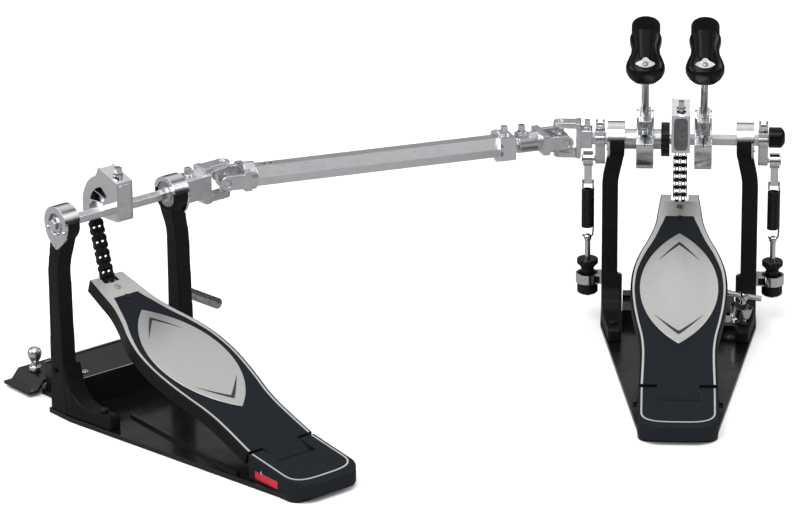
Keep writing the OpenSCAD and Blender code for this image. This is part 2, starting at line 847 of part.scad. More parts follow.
module tube_bore(x0, x1) {
    rod(x0, x1, rod_w / 2 / cos(30) + 0.5);
}

module drive_tube() {
    end = drive_span - 75;
    color("silver") on_drive() {
        difference() {
            rotate([30, 0, 0]) hex(35.1, end, tube_w);
            tube_bore(35, end + 1);
        }
        difference() {
            union() {
                translate([end + 0.1, -16, -13]) cube([18, 32, 25]);
                rod(end + 0.1, end + 3, 17.5);
            }
            tube_bore(end - 1, end + 30);
            translate([end + 10, 0, 0]) cylinder(h = 30, r = 2.65);
        }
        translate([end + 10, 0, 12.1]) key_bolt(2.8);
    }
}

module drive_rod() {
    color("silver") on_drive() {
        rotate([30, 0, 0]) hex(200, drive_span - 30, rod_w);
        translate([drive_span, 0, 0]) rotate([90, 0, 0]) fork(open_play, 19, 27);
        difference() {
            union() {
                rod(drive_span - 51, drive_span - 22.1, 11);
                translate([drive_span - 50.9, -8, -8]) cube([12, 16, 19]);
            }
            rotate([30, 0, 0]) hex(drive_span - 60, drive_span - 29.9, rod_w + 0.02);
            translate([drive_span - 45, 0, 0]) cylinder(h = 30, r = 2.65);
        }
        translate([drive_span - 45, 0, 11.1]) key_bolt(3.2);
    }
}

module remote_cross() {
    color("silver") on_drive() cross_piece();
}

module main_cross() {
    color("silver") translate([joint_2[0], joint_2[1], axle_h]) rotate([0, 0, drive_yaw]) cross_piece();
}

module remote_cam_shaft() {
    color("silver") at_axle() {
        hex(-83, 101.8, hex_w);
        for (s = [0, 1]) mirror([s, 0, 0]) rod(cap_in + 1, cap_out - 1.5, journal_r);
    }
}

// ---- remote pedal's own pieces ----

module front_box() {
    color("black") difference() {
        union() {
            translate([-59, -8, base_t]) cube([118, 66, 30]);
            for (y = [-8, 55.6]) translate([-59, y, 30]) cube([118, 2.4, 6.4]);
        }
        translate([-55, -4, base_t + 3]) cube([110, 58, 23]);
        translate([-90, 56, base_t + 5]) cube([75, 40, 9]);
        translate([-43, 8, 30]) cylinder(h = 20, r = 2.1);
    }
    color("silver") translate([-43, 8, 31]) {
        cylinder(h = 4, r = 2);
        translate([0, 0, 4.05]) cylinder(h = 1.6, r = 4);
    }
}

screw_at = [-52.5, 85];

module outrigger() {
    color("black") difference() {
        translate([0, 104, 0]) rotate([90, 0, 0]) linear_extrude(45.8) polygon(
            [[-20, 12], [-20, 16], [-61, 16], [-70, 6.2], [-80, 6.2], [-80, 2.8], [-68.6, 2.8], [-60, 12]]);
        translate([screw_at[0], screw_at[1], 0]) cylinder(h = 30, r = 4 + fit);
    }
}

module thumb_screw() {
    color("silver") translate([screw_at[0], screw_at[1], 0]) {
        translate([0, 0, 1]) cylinder(h = 26, r = 4);
        translate([0, 0, 17.5]) cylinder(h = 4, r = 6.6);
        translate([0, 0, 26.5]) rotate_extrude() polygon(concat([[0, 0], [4, 0]],
            [[6.4, 4.2], [7.5, 7.6], [7.6, 10.4], [6.6, 13.2], [4.2, 15.2], [0, 15.9]]));
    }
}

// The tuning key held in its clip on the right-hand post.
module tuning_key() {
    color("silver") translate([87.5, 22, 92]) rotate([0, 120, 5]) difference() {
        cylinder(h = 68, r = 6);
        translate([0, 0, 54]) cylinder(h = 20, r = 4);
    }
    color("silver") translate([84.7, 4, 66]) cube([3, 12, 24]);
    color("silver") translate([84.7, 13.5, 76]) cube([16, 3, 12]);
}

module remote_heel() {
    heel_plate();
    color("red") difference() {
        translate([-41, -313, 7.1]) cube([3.9, 36.6, 8.7]);
        translate([0, hinge_y, hinge_z]) rod(-50, 0, hinge_pin_r + 0.6);
    }
}

// ---- drawing ----

base_plate(44);  // main_base_plate
heel_plate();  // main_heel_plate
main_bridge();  // main_front_bridge
mirror([1, 0, 0]) post();  // main_post_left
clamp_side_post();  // main_post_right
bearing_caps(sleeve_r);  // main_bearing_caps
frame_screws();  // main_frame_screws
mirror([1, 0, 0]) spring_holder(-left_spring_x);  // left_spring_holder
spring_holder(right_spring_x);  // right_spring_holder
tension_nut(left_spring_x);  // left_tension_nut
tension_nut(right_spring_x);  // right_tension_nut
hoop_clamp_jaw();
hoop_wing_bolt();
footboard(main_tilt);  // main_footboard
badge(main_tilt);  // main_badge
toe_clamp(main_tilt);  // main_toe_clamp
main_cam_shaft();
cam();  // main_cam
chain_wrap(main_tilt, main_links + 4);  // main_chain_wrap
beater_hub(right_beater_x, false);  // right_beater_hub
union() {  // right_spring_arm
    spring_arm(84, hex_w);
    spring_pin(84 + arm_t, 109);
}
shaft_end_cap();
chain_part(main_tilt, main_links + 2, main_links + 4);  // main_chain_upper
chain_part(main_tilt, main_links, main_links + 2);  // main_chain_middle
chain_part(main_tilt, 0, main_links);  // main_chain_run
beater_rod(right_beater_x);  // right_beater_rod
beater_head(right_beater_x);  // right_beater_head
spring_coil(right_spring_x);  // right_spring_coil
spring_clip(right_spring_x);  // right_spring_clip
left_sleeve();
beater_hub(left_beater_x, true);  // left_beater_hub
union() {  // left_spring_arm
    spring_arm(-92.3, 2 * neck_r * cos(30));
    spring_pin(-92.3, -107);
}
sleeve_yoke();
beater_rod(left_beater_x);  // left_beater_rod
beater_head(left_beater_x);  // left_beater_head
spring_coil(left_spring_x);  // left_spring_coil
spring_clip(left_spring_x);  // left_spring_clip
drive_rod();
drive_tube();
drive_tube_yoke();
main_cross();
remote_cross();
on_remote() base_plate(62);  // remote_base_plate
on_remote() remote_heel();  // remote_heel_plate
on_remote() front_box();  // remote_front_box
on_remote() {  // remote_posts
    post();
    mirror([1, 0, 0]) post();
}
on_remote() bearing_caps(journal_r);  // remote_bearing_caps
on_remote() frame_screws();  // remote_frame_screws
on_remote() footboard(remote_tilt);  // remote_footboard
on_remote() badge(remote_tilt);  // remote_badge
on_remote() toe_clamp(remote_tilt);  // remote_toe_clamp
on_remote() remote_cam_shaft();
on_remote() {  // remote_cam
    cam();
    chain_wrap(remote_tilt, remote_links + 4);
}
remote_shaft_yoke();
on_remote()  // remote_chain_upper
    chain_part(remote_tilt, remote_links + 2, remote_links + 4);
on_remote()  // remote_chain_middle
    chain_part(remote_tilt, remote_links, remote_links + 2);
on_remote()  // remote_chain_run
    chain_part(remote_tilt, 0, remote_links);
on_remote() outrigger();  // remote_outrigger
on_remote() thumb_screw();  // remote_thumb_screw
on_remote() tuning_key();  // remote_tuning_key
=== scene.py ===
"""Twin bass drum pedal: the visible pieces, their finishes and the studio, built round the frame."""

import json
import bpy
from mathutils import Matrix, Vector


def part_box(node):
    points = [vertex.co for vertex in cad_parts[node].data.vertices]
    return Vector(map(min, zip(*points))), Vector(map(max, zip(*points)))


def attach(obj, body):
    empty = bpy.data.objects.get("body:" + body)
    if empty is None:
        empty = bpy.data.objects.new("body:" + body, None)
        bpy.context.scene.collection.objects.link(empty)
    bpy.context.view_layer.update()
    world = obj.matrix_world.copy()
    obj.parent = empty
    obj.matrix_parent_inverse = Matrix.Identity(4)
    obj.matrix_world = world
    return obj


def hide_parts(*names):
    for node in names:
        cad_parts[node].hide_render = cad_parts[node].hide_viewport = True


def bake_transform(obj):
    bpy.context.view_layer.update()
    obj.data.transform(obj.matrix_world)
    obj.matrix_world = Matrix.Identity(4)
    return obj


bl_info = {
    "name": "Twin Drum Pedal",
    "version": (1, 0, 0),
    "blender": (4, 5, 0),
    "location": "View3D > Sidebar > Pedal",
    "description": "Builds the visible pieces of a twin bass drum pedal",
    "category": "Add Mesh",
}

from math import atan2, cos, pi, radians, sin

import bmesh
import bpy
import numpy as np
from bpy.props import FloatProperty, FloatVectorProperty, IntProperty, PointerProperty
from mathutils import Matrix, Vector

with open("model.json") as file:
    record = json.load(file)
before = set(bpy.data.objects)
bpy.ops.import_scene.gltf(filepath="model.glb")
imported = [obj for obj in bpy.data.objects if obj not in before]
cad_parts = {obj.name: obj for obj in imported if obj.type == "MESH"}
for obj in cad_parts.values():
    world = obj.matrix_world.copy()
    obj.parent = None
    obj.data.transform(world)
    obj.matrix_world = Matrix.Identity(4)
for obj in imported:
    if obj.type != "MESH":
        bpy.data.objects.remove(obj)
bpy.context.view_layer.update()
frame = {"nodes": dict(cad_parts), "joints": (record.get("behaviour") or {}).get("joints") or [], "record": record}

MM = 0.001
JOINTS = {joint["name"]: joint for joint in frame["joints"]}

# ---- places taken from the frame, in millimetres ----


def joint_point(name):
    """Where a joint's pin is."""
    return np.array(JOINTS[name]["pos_m"]) / MM


def shift(x, y, z):
    """Matrix that moves by x, y, z."""
    m = np.eye(4)
    m[:3, 3] = (x, y, z)
    return m


def turn(axis, angle):
    """Matrix that turns by an angle in radians about one of the axes 0, 1 or 2."""
    m = np.eye(4)
    a, b = [(1, 2), (2, 0), (0, 1)][axis]
    m[a, a] = m[b, b] = cos(angle)
    m[a, b] = -sin(angle)
    m[b, a] = sin(angle)
    return m


def pedal_frame(side):
    """Frame of a whole pedal: on the floor under its cam shaft, X along the shaft."""
    if side == "main":
        return np.eye(4)
    x, y, _ = joint_point("remote_shaft_turn")
    axis = JOINTS["remote_shaft_turn"]["axis"]
    return shift(x, y, 0) @ turn(2, atan2(axis[1], axis[0]))


def in_pedal(side, point):
    """A point of the whole object, seen from one pedal's own frame."""
    return (np.linalg.inv(pedal_frame(side)) @ np.append(point, 1))[:3]


AXLE_H = joint_point("main_shaft_turn")[2]
HINGE = in_pedal("main", joint_point("main_footboard_hinge"))
TREAD_H = 8.1
TOE_PIN = np.array([324.5, TREAD_H - 5])
BOARD_LEN = TOE_PIN[0] + 6
LEAN = radians(40)
HEAD_D = 146
SIDES = ("main", "remote")
SPRING_X = (-joint_point("left_spring_lean")[0], joint_point("right_spring_lean")[0])
BOARD_BODY = {"main": "right_footboard", "remote": "left_footboard"}


def board_frame(side):
    """Frame of a footboard: on its hinge pin, Y along the board to the toe, Z off the tread."""
    hinge = in_pedal(side, joint_point(side + "_footboard_hinge"))
    toe = in_pedal(side, joint_point(side + "_chain_toe"))
    tilt = atan2(toe[2] - hinge[2], toe[1] - hinge[1]) - atan2(TOE_PIN[1], TOE_PIN[0])
    return pedal_frame(side) @ shift(0, hinge[1], hinge[2]) @ turn(0, tilt)


def head_frame(x):
    """Frame of a beater head: on the rod, Y towards the drum, Z along the rod away from the hub."""
    return shift(x, 0, AXLE_H) @ turn(0, LEAN) @ shift(0, 0, HEAD_D)


# ---- settings ----


class PedalSizes(bpy.types.PropertyGroup):
    """Sizes that a user may change."""

    trim_height: FloatProperty(
        name="Trim height", description="How proud the silver rim stands", default=0.45 * MM, unit="LENGTH")
    grip_height: FloatProperty(
        name="Grip height", description="How proud the grip stands", default=0.3 * MM, unit="LENGTH")
    wire_radius: FloatProperty(
        name="Spring wire", description="Radius of the spring wire", default=0.95 * MM, unit="LENGTH")
    coil_turns: IntProperty(
        name="Coil turns", description="Turns in each spring", default=22, min=6)


class PedalColours(bpy.types.PropertyGroup):
    """Colours that a user may change."""

    chrome: FloatVectorProperty(
        name="Chrome", description="Tint of the chrome", subtype="COLOR", default=(0.80, 0.81, 0.83))
    cast: FloatVectorProperty(
        name="Cast metal", description="Satin cast yokes and tube", subtype="COLOR", default=(0.74, 0.75, 0.77))
    black: FloatVectorProperty(
        name="Black", description="Enamel and powder coat", subtype="COLOR", default=(0.004, 0.004, 0.0045))
    grip: FloatVectorProperty(
        name="Grip", description="Charcoal grip on the boards", subtype="COLOR", default=(0.0095, 0.0113, 0.0142))
    trim: FloatVectorProperty(
        name="Silver trim", description="Rim and badge", subtype="COLOR", default=(0.66, 0.66, 0.65))
    key: FloatVectorProperty(
        name="Heel key", description="Coloured key in the heel", subtype="COLOR", default=(0.42, 0.008, 0.025))


class StageSettings(bpy.types.PropertyGroup):
    """Studio settings that a user may change."""

    key_light: FloatProperty(
        name="Key light", description="Power of the large lamp overhead", default=55.0, unit="POWER")
    side_light: FloatProperty(
        name="Side light", description="Power of each side lamp", default=16.0, unit="POWER")
    floor_tone: FloatProperty(
        name="Floor tone", description="Brightness of the floor", default=0.93, min=0, max=1)


# ---- surfaces ----


def grid_faces(rows, columns, wrap_rows=False, wrap_columns=False):
    """Quads that join neighbours of a grid of points, closed on itself where asked."""
    r = np.arange(rows if wrap_rows else rows - 1)
    c = np.arange(columns if wrap_columns else columns - 1)
    a, b = np.meshgrid(r, c, indexing="ij")
    a2, b2 = (a + 1) % rows, (b + 1) % columns
    quads = np.stack([a * columns + b, a * columns + b2, a2 * columns + b2, a2 * columns + b], -1)
    return quads.reshape(-1, 4).tolist()


def lathe(profile, steps=48):
    """Surface of revolution about Z: each (radius, height) of the profile goes round a circle."""
    p = np.array(profile, float)
    angle = np.linspace(0, 2 * pi, steps, endpoint=False)
    x = p[:, 0, None] * np.cos(angle)
    y = p[:, 0, None] * np.sin(angle)
    z = np.repeat(p[:, 1, None], steps, axis=1)
    return np.stack([x, y, z], -1).reshape(-1, 3), grid_faces(len(p), steps, wrap_columns=True)


def tube(path, radius, steps=10):
    """A round wire: a circle carried along a path, kept square to it with the least twist."""
    p = np.array(path, float)
    along = np.gradient(p, axis=0)
    along /= np.linalg.norm(along, axis=1)[:, None]
    side = np.cross(along, (0.13, 0.21, 0.97))
    side /= np.linalg.norm(side, axis=1)[:, None]
    up = np.cross(along, side)
    angle = np.linspace(0, 2 * pi, steps, endpoint=False)
    ring = np.cos(angle)[None, :, None] * side[:, None] + np.sin(angle)[None, :, None] * up[:, None]
    points = (p[:, None] + radius * ring).reshape(-1, 3)
    faces = grid_faces(len(p), steps, wrap_columns=True)
    last = (len(p) - 1) * steps
    return points, faces + [list(range(steps)), [last + i for i in range(steps)]]


def prism(outline, low, high):
    """A flat outline in (x, y) made solid from one height to another."""
    o = np.array(outline, float)
    n = len(o)
    points = np.concatenate([np.column_stack([o, np.full(n, h)]) for h in (low, high)])
    return points, grid_faces(2, n, wrap_columns=True) + [list(range(n)), [n + i for i in range(n)]]


def strip(left, right, low, high):
    """A band between two lines of (x, y) points, made solid from one height to another."""
    a, b = np.array(left, float), np.array(right, float)
    ring = [np.column_stack([p, np.full(len(p), h)]) for p, h in ((a, low), (a, high), (b, high), (b, low))]
    points = np.stack(ring, 1).reshape(-1, 3)
    last = 4 * (len(a) - 1)
    return points, grid_faces(len(a), 4, wrap_columns=True) + [[0, 1, 2, 3], [last, last + 1, last + 2, last + 3]]


def place(shell, matrix):
    """A shell's points moved by a matrix."""
    points, faces = shell
    return points @ matrix[:3, :3].T + matrix[:3, 3], faces


def joined(shells):
    """Several shells as one."""
    points, faces, start = [], [], 0
    for p, f in shells:
        points.append(p)
        faces += [[i + start for i in face] for face in f]
        start += len(p)
    return np.concatenate(points), faces


# ---- pieces ----


def smooth(mesh, angle=35):
    """Smooth shading with edges sharper than an angle in degrees kept crisp."""
    mesh.shade_smooth()
    mesh.set_sharp_from_angle(angle=radians(angle))


def round_edges(piece, width, segments=2):
    """Bevels a piece's sharp edges by a width in metres."""
    bevel = piece.modifiers.new("edges", "BEVEL")
    bevel.width = width
    bevel.segments = segments
    bevel.limit_method = "ANGLE"
    bevel.angle_limit = radians(33)
    bevel.miter_outer = "MITER_ARC"
    normals = piece.modifiers.new("normals", "WEIGHTED_NORMAL")
    normals.keep_sharp = True


def piece(name, shell, finish, body, slot, bevel=0.0, angle=35):
    """Makes a named piece from a shell in millimetres, riding on a body. Bevel is in metres."""
    points, faces = shell
    mesh = bpy.data.meshes.new(name)
    mesh.from_pydata((np.asarray(points) * MM).tolist(), [], faces)
    b = bmesh.new()
    b.from_mesh(mesh)
    bmesh.ops.remove_doubles(b, verts=b.verts, dist=1e-6)
    bmesh.ops.recalc_face_normals(b, faces=b.faces)
    b.to_mesh(mesh)
    b.free()
    smooth(mesh, angle)
    mesh.materials.append(finish)
    made = bpy.data.objects.new(name, mesh)
    bpy.context.scene.collection.objects.link(made)
    if bevel:
        round_edges(made, bevel)
    if body:
        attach(made, body)
    return made


def body_of(node):
    """The body that a node belongs to."""
    return next(b for b, nodes in frame["record"]["behaviour"]["bodies"].items() if node in nodes)


def merged_copy(node, finish, extra=()):
    """A node's mesh as a new one with its loose triangles merged into flat faces. Extra is a
    list of (finish, test of points in millimetres in the pedal's own frame): faces whose
    corners all pass take that finish."""
    mesh = frame["nodes"][node].data.copy()
    mesh.name = node + "_look"
    mesh.materials.clear()
    mesh.materials.append(finish)
    if extra:
        corner = np.zeros(len(mesh.loops), np.int32)
        mesh.loops.foreach_get("vertex_index", corner)
        points = np.zeros(len(mesh.vertices) * 3)
        mesh.vertices.foreach_get("co", points)
        inverse = np.linalg.inv(pedal_frame("remote" if node.startswith("remote") else "main"))
        points = (points.reshape(-1, 3) / MM) @ inverse[:3, :3].T + inverse[:3, 3]
        index = np.zeros(len(mesh.polygons), np.int32)
        for i, (other, test) in enumerate(extra):
            mesh.materials.append(other)
            index[test(points)[corner].reshape(-1, 3).all(axis=1)] = i + 1
        mesh.polygons.foreach_set("material_index", index)
    b = bmesh.new()
    b.from_mesh(mesh)
    bmesh.ops.remove_doubles(b, verts=b.verts, dist=4e-6)
    bmesh.ops.dissolve_limit(b, angle_limit=radians(0.8), verts=b.verts, edges=b.edges, delimit={"MATERIAL"})
    b.to_mesh(mesh)
    b.free()
    smooth(mesh)
    return mesh


def shown(name, mesh, node):
    """Puts a mesh in the scene as a piece that rides where a node does."""
    made = bpy.data.objects.new(name, mesh)
    bpy.context.scene.collection.objects.link(made)
    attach(made, body_of(node))
    return made


def dressed(node, finish, bevel, extra=()):
    """A merged copy of a node with its sharp edges rounded by a width in metres."""
    made = shown(node + "_look", merged_copy(node, finish, extra), node)
    if bevel:
        round_edges(made, bevel)
    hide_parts(node)
    return made


def keep_solids(mesh, test):
    """Deletes every separate solid of a mesh whose size, in millimetres, fails a test.
    Returns how many are left."""
    b = bmesh.new()
    b.from_mesh(mesh)
    left, kept = set(b.verts), 0
    while left:
        solid, edge = set(), {left.pop()}
        while edge:
            solid |= edge
            edge = {e.other_vert(v) for v in edge for e in v.link_edges} - solid
        left -= solid
        points = np.array([v.co for v in solid]) / MM
        if test(np.linalg.norm(np.ptp(points, axis=0))):
            kept += 1
        else:
            bmesh.ops.delete(b, geom=list(solid), context="VERTS")
    b.to_mesh(mesh)
    b.free()
    return kept


def cast(node, finish, bolt_finish, voxel, passes, bolt_size=30):
    """A node as a casting: its large solids remeshed on a fine grid and their edges melted
    together, its bolts, smaller than bolt_size across, kept crisp."""
    body = merged_copy(node, finish)
    bolts = body.copy()
    keep_solids(body, lambda size: size >= bolt_size)
    made = shown(node + "_look", body, node)
    remesh = made.modifiers.new("grid", "REMESH")
    remesh.mode = "VOXEL"
    remesh.voxel_size = voxel * MM
    remesh.use_smooth_shade = True
    melt = made.modifiers.new("melt", "SMOOTH")
    melt.factor = 0.5
    melt.iterations = passes
    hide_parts(node)
    if keep_solids(bolts, lambda size: size < bolt_size):
        bolts.name = node + "_bolts"
        bolts.materials[0] = bolt_finish
        round_edges(shown(node + "_bolts", bolts, node), 0.4 * MM)
    else:
        bpy.data.meshes.remove(bolts)
    return made


# ---- finishes ----


class Finish:
    """One material with its shader, its Object coordinates and short ways to add texture."""

    def __init__(self, name, colour, roughness, metallic=0.0):
        self.material = bpy.data.materials.new("pedal_" + name)
        self.material.use_nodes = True
        self.nodes = self.material.node_tree.nodes
        self.link = self.material.node_tree.links.new
        self.shader = self.nodes["Principled BSDF"]
        self.shader.inputs["Base Color"].default_value = (*colour, 1)
        self.shader.inputs["Roughness"].default_value = roughness
        self.shader.inputs["Metallic"].default_value = metallic
        self.where = self.nodes.new("ShaderNodeTexCoord").outputs["Object"]

    def noise(self, scale, detail=3.0, stretch=(1, 1, 1), turned=(0, 0, 0)):
        """Cloudy noise with so many cells to the metre, drawn out along an axis if asked."""
        mapping = self.nodes.new("ShaderNodeMapping")
        mapping.inputs["Scale"].default_value = stretch
        mapping.inputs["Rotation"].default_value = turned
        noise = self.nodes.new("ShaderNodeTexNoise")
        noise.inputs["Scale"].default_value = scale
        noise.inputs["Detail"].default_value = detail
        self.link(self.where, mapping.inputs["Vector"])
        self.link(mapping.outputs["Vector"], noise.inputs["Vector"])
        return noise.outputs["Fac"]

    def between(self, source, low, high):
        """A 0 to 1 pattern brought between two values."""
        node = self.nodes.new("ShaderNodeMapRange")
        node.inputs["From Min"].default_value = 0.3
        node.inputs["From Max"].default_value = 0.7
        node.inputs["To Min"].default_value = low
        node.inputs["To Max"].default_value = high
        self.link(source, node.inputs["Value"])
        return node.outputs["Result"]

    def rough(self, source, low, high):
        """Roughness that wanders between two values."""
        self.link(self.between(source, low, high), self.shader.inputs["Roughness"])

    def tint(self, source, dark, light):
        """Colour that wanders between two colours."""
        ramp = self.nodes.new("ShaderNodeValToRGB")
        ramp.color_ramp.elements[0].position = 0.35
        ramp.color_ramp.elements[1].position = 0.65
        ramp.color_ramp.elements[0].color = (*dark, 1)
        ramp.color_ramp.elements[1].color = (*light, 1)
        self.link(source, ramp.inputs["Fac"])
        self.link(ramp.outputs["Color"], self.shader.inputs["Base Color"])

    def bump(self, source, depth, strength=1.0):
        """Relief of a depth in metres."""
        node = self.nodes.new("ShaderNodeBump")
        node.inputs["Strength"].default_value = strength
        node.inputs["Distance"].default_value = depth
        self.link(source, node.inputs["Height"])
        self.link(node.outputs["Normal"], self.shader.inputs["Normal"])


def shade(colour, factor):
    """A colour made lighter or darker."""
    return tuple(min(1.0, c * factor) for c in colour)


def chrome(colours):
    """Bright plating with faint smears and an even, almost flat surface."""
    f = Finish("chrome", colours.chrome, 0.1, 1.0)
    f.rough(f.noise(70, 4), 0.07, 0.19)
    f.tint(f.noise(240, 2), shade(colours.chrome, 0.92), colours.chrome)
    return f.material


def satin_chrome(colours):
    """Plating over a finely ground surface."""
    f = Finish("satin_chrome", shade(colours.chrome, 0.92), 0.26, 1.0)
    f.rough(f.noise(120, 2), 0.22, 0.3)
    f.tint(f.noise(90, 2), shade(colours.chrome, 0.9), shade(colours.chrome, 0.98))
    return f.material


def cast_metal(colours):
    """Bead-blasted cast metal."""
    f = Finish("cast_metal", colours.cast, 0.34, 1.0)
    f.rough(f.noise(300, 4), 0.28, 0.4)
    f.tint(f.noise(90, 3), shade(colours.cast, 0.94), shade(colours.cast, 1.06))
    f.bump(f.noise(2600, 2), 0.00004, 0.4)
    return f.material


def drawn_tube(colours):
    """Drawn aluminium, with faint lines along the drive shaft."""
    f = Finish("drawn_tube", colours.cast, 0.3, 1.0)
    axis = JOINTS["drive_tube_turn"]["axis"]
    lines = f.noise(260, 2, (0.01, 1, 1), (0, 0, -atan2(axis[1], axis[0])))
    f.rough(lines, 0.27, 0.3)
    f.tint(lines, shade(colours.cast, 1.16), shade(colours.cast, 1.2))
    return f.material


def black_enamel(colours):
    """Thick gloss enamel with a slight orange peel."""
    f = Finish("black_enamel", colours.black, 0.16)
    f.shader.inputs["Specular IOR Level"].default_value = 0.35
    f.shader.inputs["Coat Weight"].default_value = 0.25
    f.shader.inputs["Coat Roughness"].default_value = 0.08
    f.rough(f.noise(45, 4), 0.14, 0.3)
    f.bump(f.noise(420, 2), 0.00004, 0.35)
    return f.material


def powder_black(colours):
    """Fine powder coat on the posts and side skirts."""
    f = Finish("powder_black", colours.black, 0.4)
    f.shader.inputs["Specular IOR Level"].default_value = 0.1
    f.rough(f.noise(90, 3), 0.34, 0.5)
    f.tint(f.noise(800, 3), shade(colours.black, 0.8), shade(colours.black, 1.9))
    f.bump(f.noise(2200, 2), 0.00008, 0.6)
    return f.material


def grip_coat(colours):
    """Charcoal grip coat with a sandy grain."""
    f = Finish("grip_coat", colours.grip, 0.6)
    f.shader.inputs["Specular IOR Level"].default_value = 0.05
    f.rough(f.noise(500, 3), 0.46, 0.66)
    f.tint(f.noise(1500, 4), shade(colours.grip, 0.7), shade(colours.grip, 1.5))
    f.bump(f.noise(1900, 3), 0.00022, 0.8)
    return f.material


def silver_trim(colours):
    """Brushed silver of the rim, drawn out across the pedals."""
    f = Finish("silver_trim", colours.trim, 0.4, 0.55)
    lines = f.noise(1400, 3, (0.3, 1, 1))
    f.rough(lines, 0.36, 0.5)
    f.tint(lines, shade(colours.trim, 0.68), shade(colours.trim, 0.82))
    return f.material


def brushed_badge(colours):
    """Fine straight brushing on the badge plates."""
    f = Finish("brushed_badge", colours.trim, 0.34, 0.95)
    lines = f.noise(2600, 3, (0.04, 1, 1))
    f.rough(lines, 0.28, 0.4)
    f.tint(lines, shade(colours.trim, 0.92), shade(colours.trim, 1.08))
    return f.material


def badge_ink(colours):
    """Dark grey ink printed on the badge."""
    f = Finish("badge_ink", shade(colours.grip, 1.6), 0.5)
    f.rough(f.noise(900, 3), 0.4, 0.6)
    f.tint(f.noise(1200, 3), shade(colours.grip, 1.2), shade(colours.grip, 2.2))
    return f.material


def black_chain(colours):
    """Blackened steel with oil on it."""
    f = Finish("black_chain", shade(colours.black, 2.2), 0.3, 0.7)
    f.rough(f.noise(400, 3), 0.2, 0.42)
    f.tint(f.noise(700, 3), colours.black, shade(colours.black, 4.0))
    return f.material


def spring_steel(colours):
    """Black spring wire and knurled nuts."""
    f = Finish("spring_steel", colours.black, 0.3, 0.3)
    f.shader.inputs["Specular IOR Level"].default_value = 0.3
    f.rough(f.noise(350, 3), 0.22, 0.4)
    f.tint(f.noise(900, 3), shade(colours.black, 0.8), shade(colours.black, 2.4))
    f.bump(f.noise(2500, 2), 0.00003, 0.5)
    return f.material


def black_plastic(colours):
    """Moulded nylon of the beater heads."""
    f = Finish("black_plastic", colours.black, 0.2)
    f.shader.inputs["Specular IOR Level"].default_value = 0.14
    f.rough(f.noise(160, 3), 0.15, 0.2)
    f.tint(f.noise(500, 3), shade(colours.black, 0.5), shade(colours.black, 1.0))
    return f.material


def black_felt(colours):
    """Pressed felt of the beater faces, with a soft nap."""
    f = Finish("black_felt", shade(colours.black, 0.6), 0.95)
    f.shader.inputs["Specular IOR Level"].default_value = 0.04
    f.shader.inputs["Sheen Weight"].default_value = 0.03
    f.tint(f.noise(1800, 4), shade(colours.black, 0.4), shade(colours.black, 1.3))
    f.bump(f.noise(1400, 5), 0.0003, 0.8)
    return f.material


def heel_key(colours):
    """Moulded coloured key."""
    f = Finish("heel_key", colours.key, 0.34)
    f.rough(f.noise(260, 3), 0.28, 0.42)
    f.tint(f.noise(600, 3), shade(colours.key, 0.8), shade(colours.key, 1.15))
    return f.material


def dull_steel(colours):
    """Grey face of the cams."""
    f = Finish("dull_steel", shade(colours.cast, 0.34), 0.42, 1.0)
    f.rough(f.noise(400, 3), 0.36, 0.5)
    f.tint(f.noise(260, 3), shade(colours.cast, 0.3), shade(colours.cast, 0.4))
    f.bump(f.noise(2600, 2), 0.00003, 0.4)
    return f.material


def bearing_steel_and_dark_reflection(colours):
    """Ground steel of the bearing races, also put on the chrome tuning key as a painted dark reflection."""
    f = Finish("bearing_steel_and_dark_reflection", shade(colours.cast, 0.5), 0.25, 1.0)
    f.rough(f.noise(800, 3), 0.16, 0.34)
    f.tint(f.noise(300, 3), shade(colours.cast, 0.4), shade(colours.cast, 0.7))
    return f.material


FINISHES = (chrome, satin_chrome, cast_metal, drawn_tube, black_enamel, powder_black, grip_coat, silver_trim,
            brushed_badge, badge_ink, black_chain, spring_steel, black_plastic, black_felt,
            heel_key, dull_steel, bearing_steel_and_dark_reflection)


def finish(name):
    """A finish by name, made the first time it is asked for."""
    found = bpy.data.materials.get("pedal_" + name)
    if found:
        return found
    makers = {maker.__name__: maker for maker in FINISHES}
    return makers[name](bpy.context.scene.pedal_colours)


# ---- shapes of the footboards ----

BOARD_HALF = np.array([[0, 20.5], [27, 23.7], [50, 26.5], [74, 33.5], [98, 42.6], [124, 49.4],
                       [152, 51.8], [180, 50.2], [206, 46.5], [232, 42], [256, 40.3], [306, 41.2]])
SHOULDER = 306
GRIP_START = 36
BETWEEN_SCREWS = 30.5
TONGUE_HALF = 22.3
BADGE_TOP, BADGE_LEN = 65, 177


def board_half(d):
    """Half the board's width at distances back from its toe: a smooth cubic through a few
    stations, with the slope at each one set by its neighbours."""
    x, y = BOARD_HALF.T
    slope = np.gradient(y, x)
    slope[1:-1] = (y[2:] - y[:-2]) / (x[2:] - x[:-2])
    i = np.clip(np.searchsorted(x, d) - 1, 0, len(x) - 2)
    h = x[i + 1] - x[i]
    u = (d - x[i]) / h
    return (y[i] * (2 * u**3 - 3 * u**2 + 1) + slope[i] * h * (u**3 - 2 * u**2 + u)
            + y[i + 1] * (3 * u**2 - 2 * u**3) + slope[i + 1] * h * (u**3 - u**2))


def rim_inside(d):
    """Half-width where the silver rim ends and the grip starts: a wide band by the toe that
    narrows to a line beside the badge."""
    band = np.interp(d, [GRIP_START, 54, 76, 100, 126, 150, SHOULDER], [9.3, 6.6, 6.4, 5.6, 4.6, 4.4, 4.4])
    return board_half(d) - band


def rim_outside(d):
    """Half-width where the silver rim starts, inside the black edge."""
    return board_half(d) - np.interp(d, [0, 90, 150, SHOULDER], [0.9, 1.4, 2.2, 2.2])


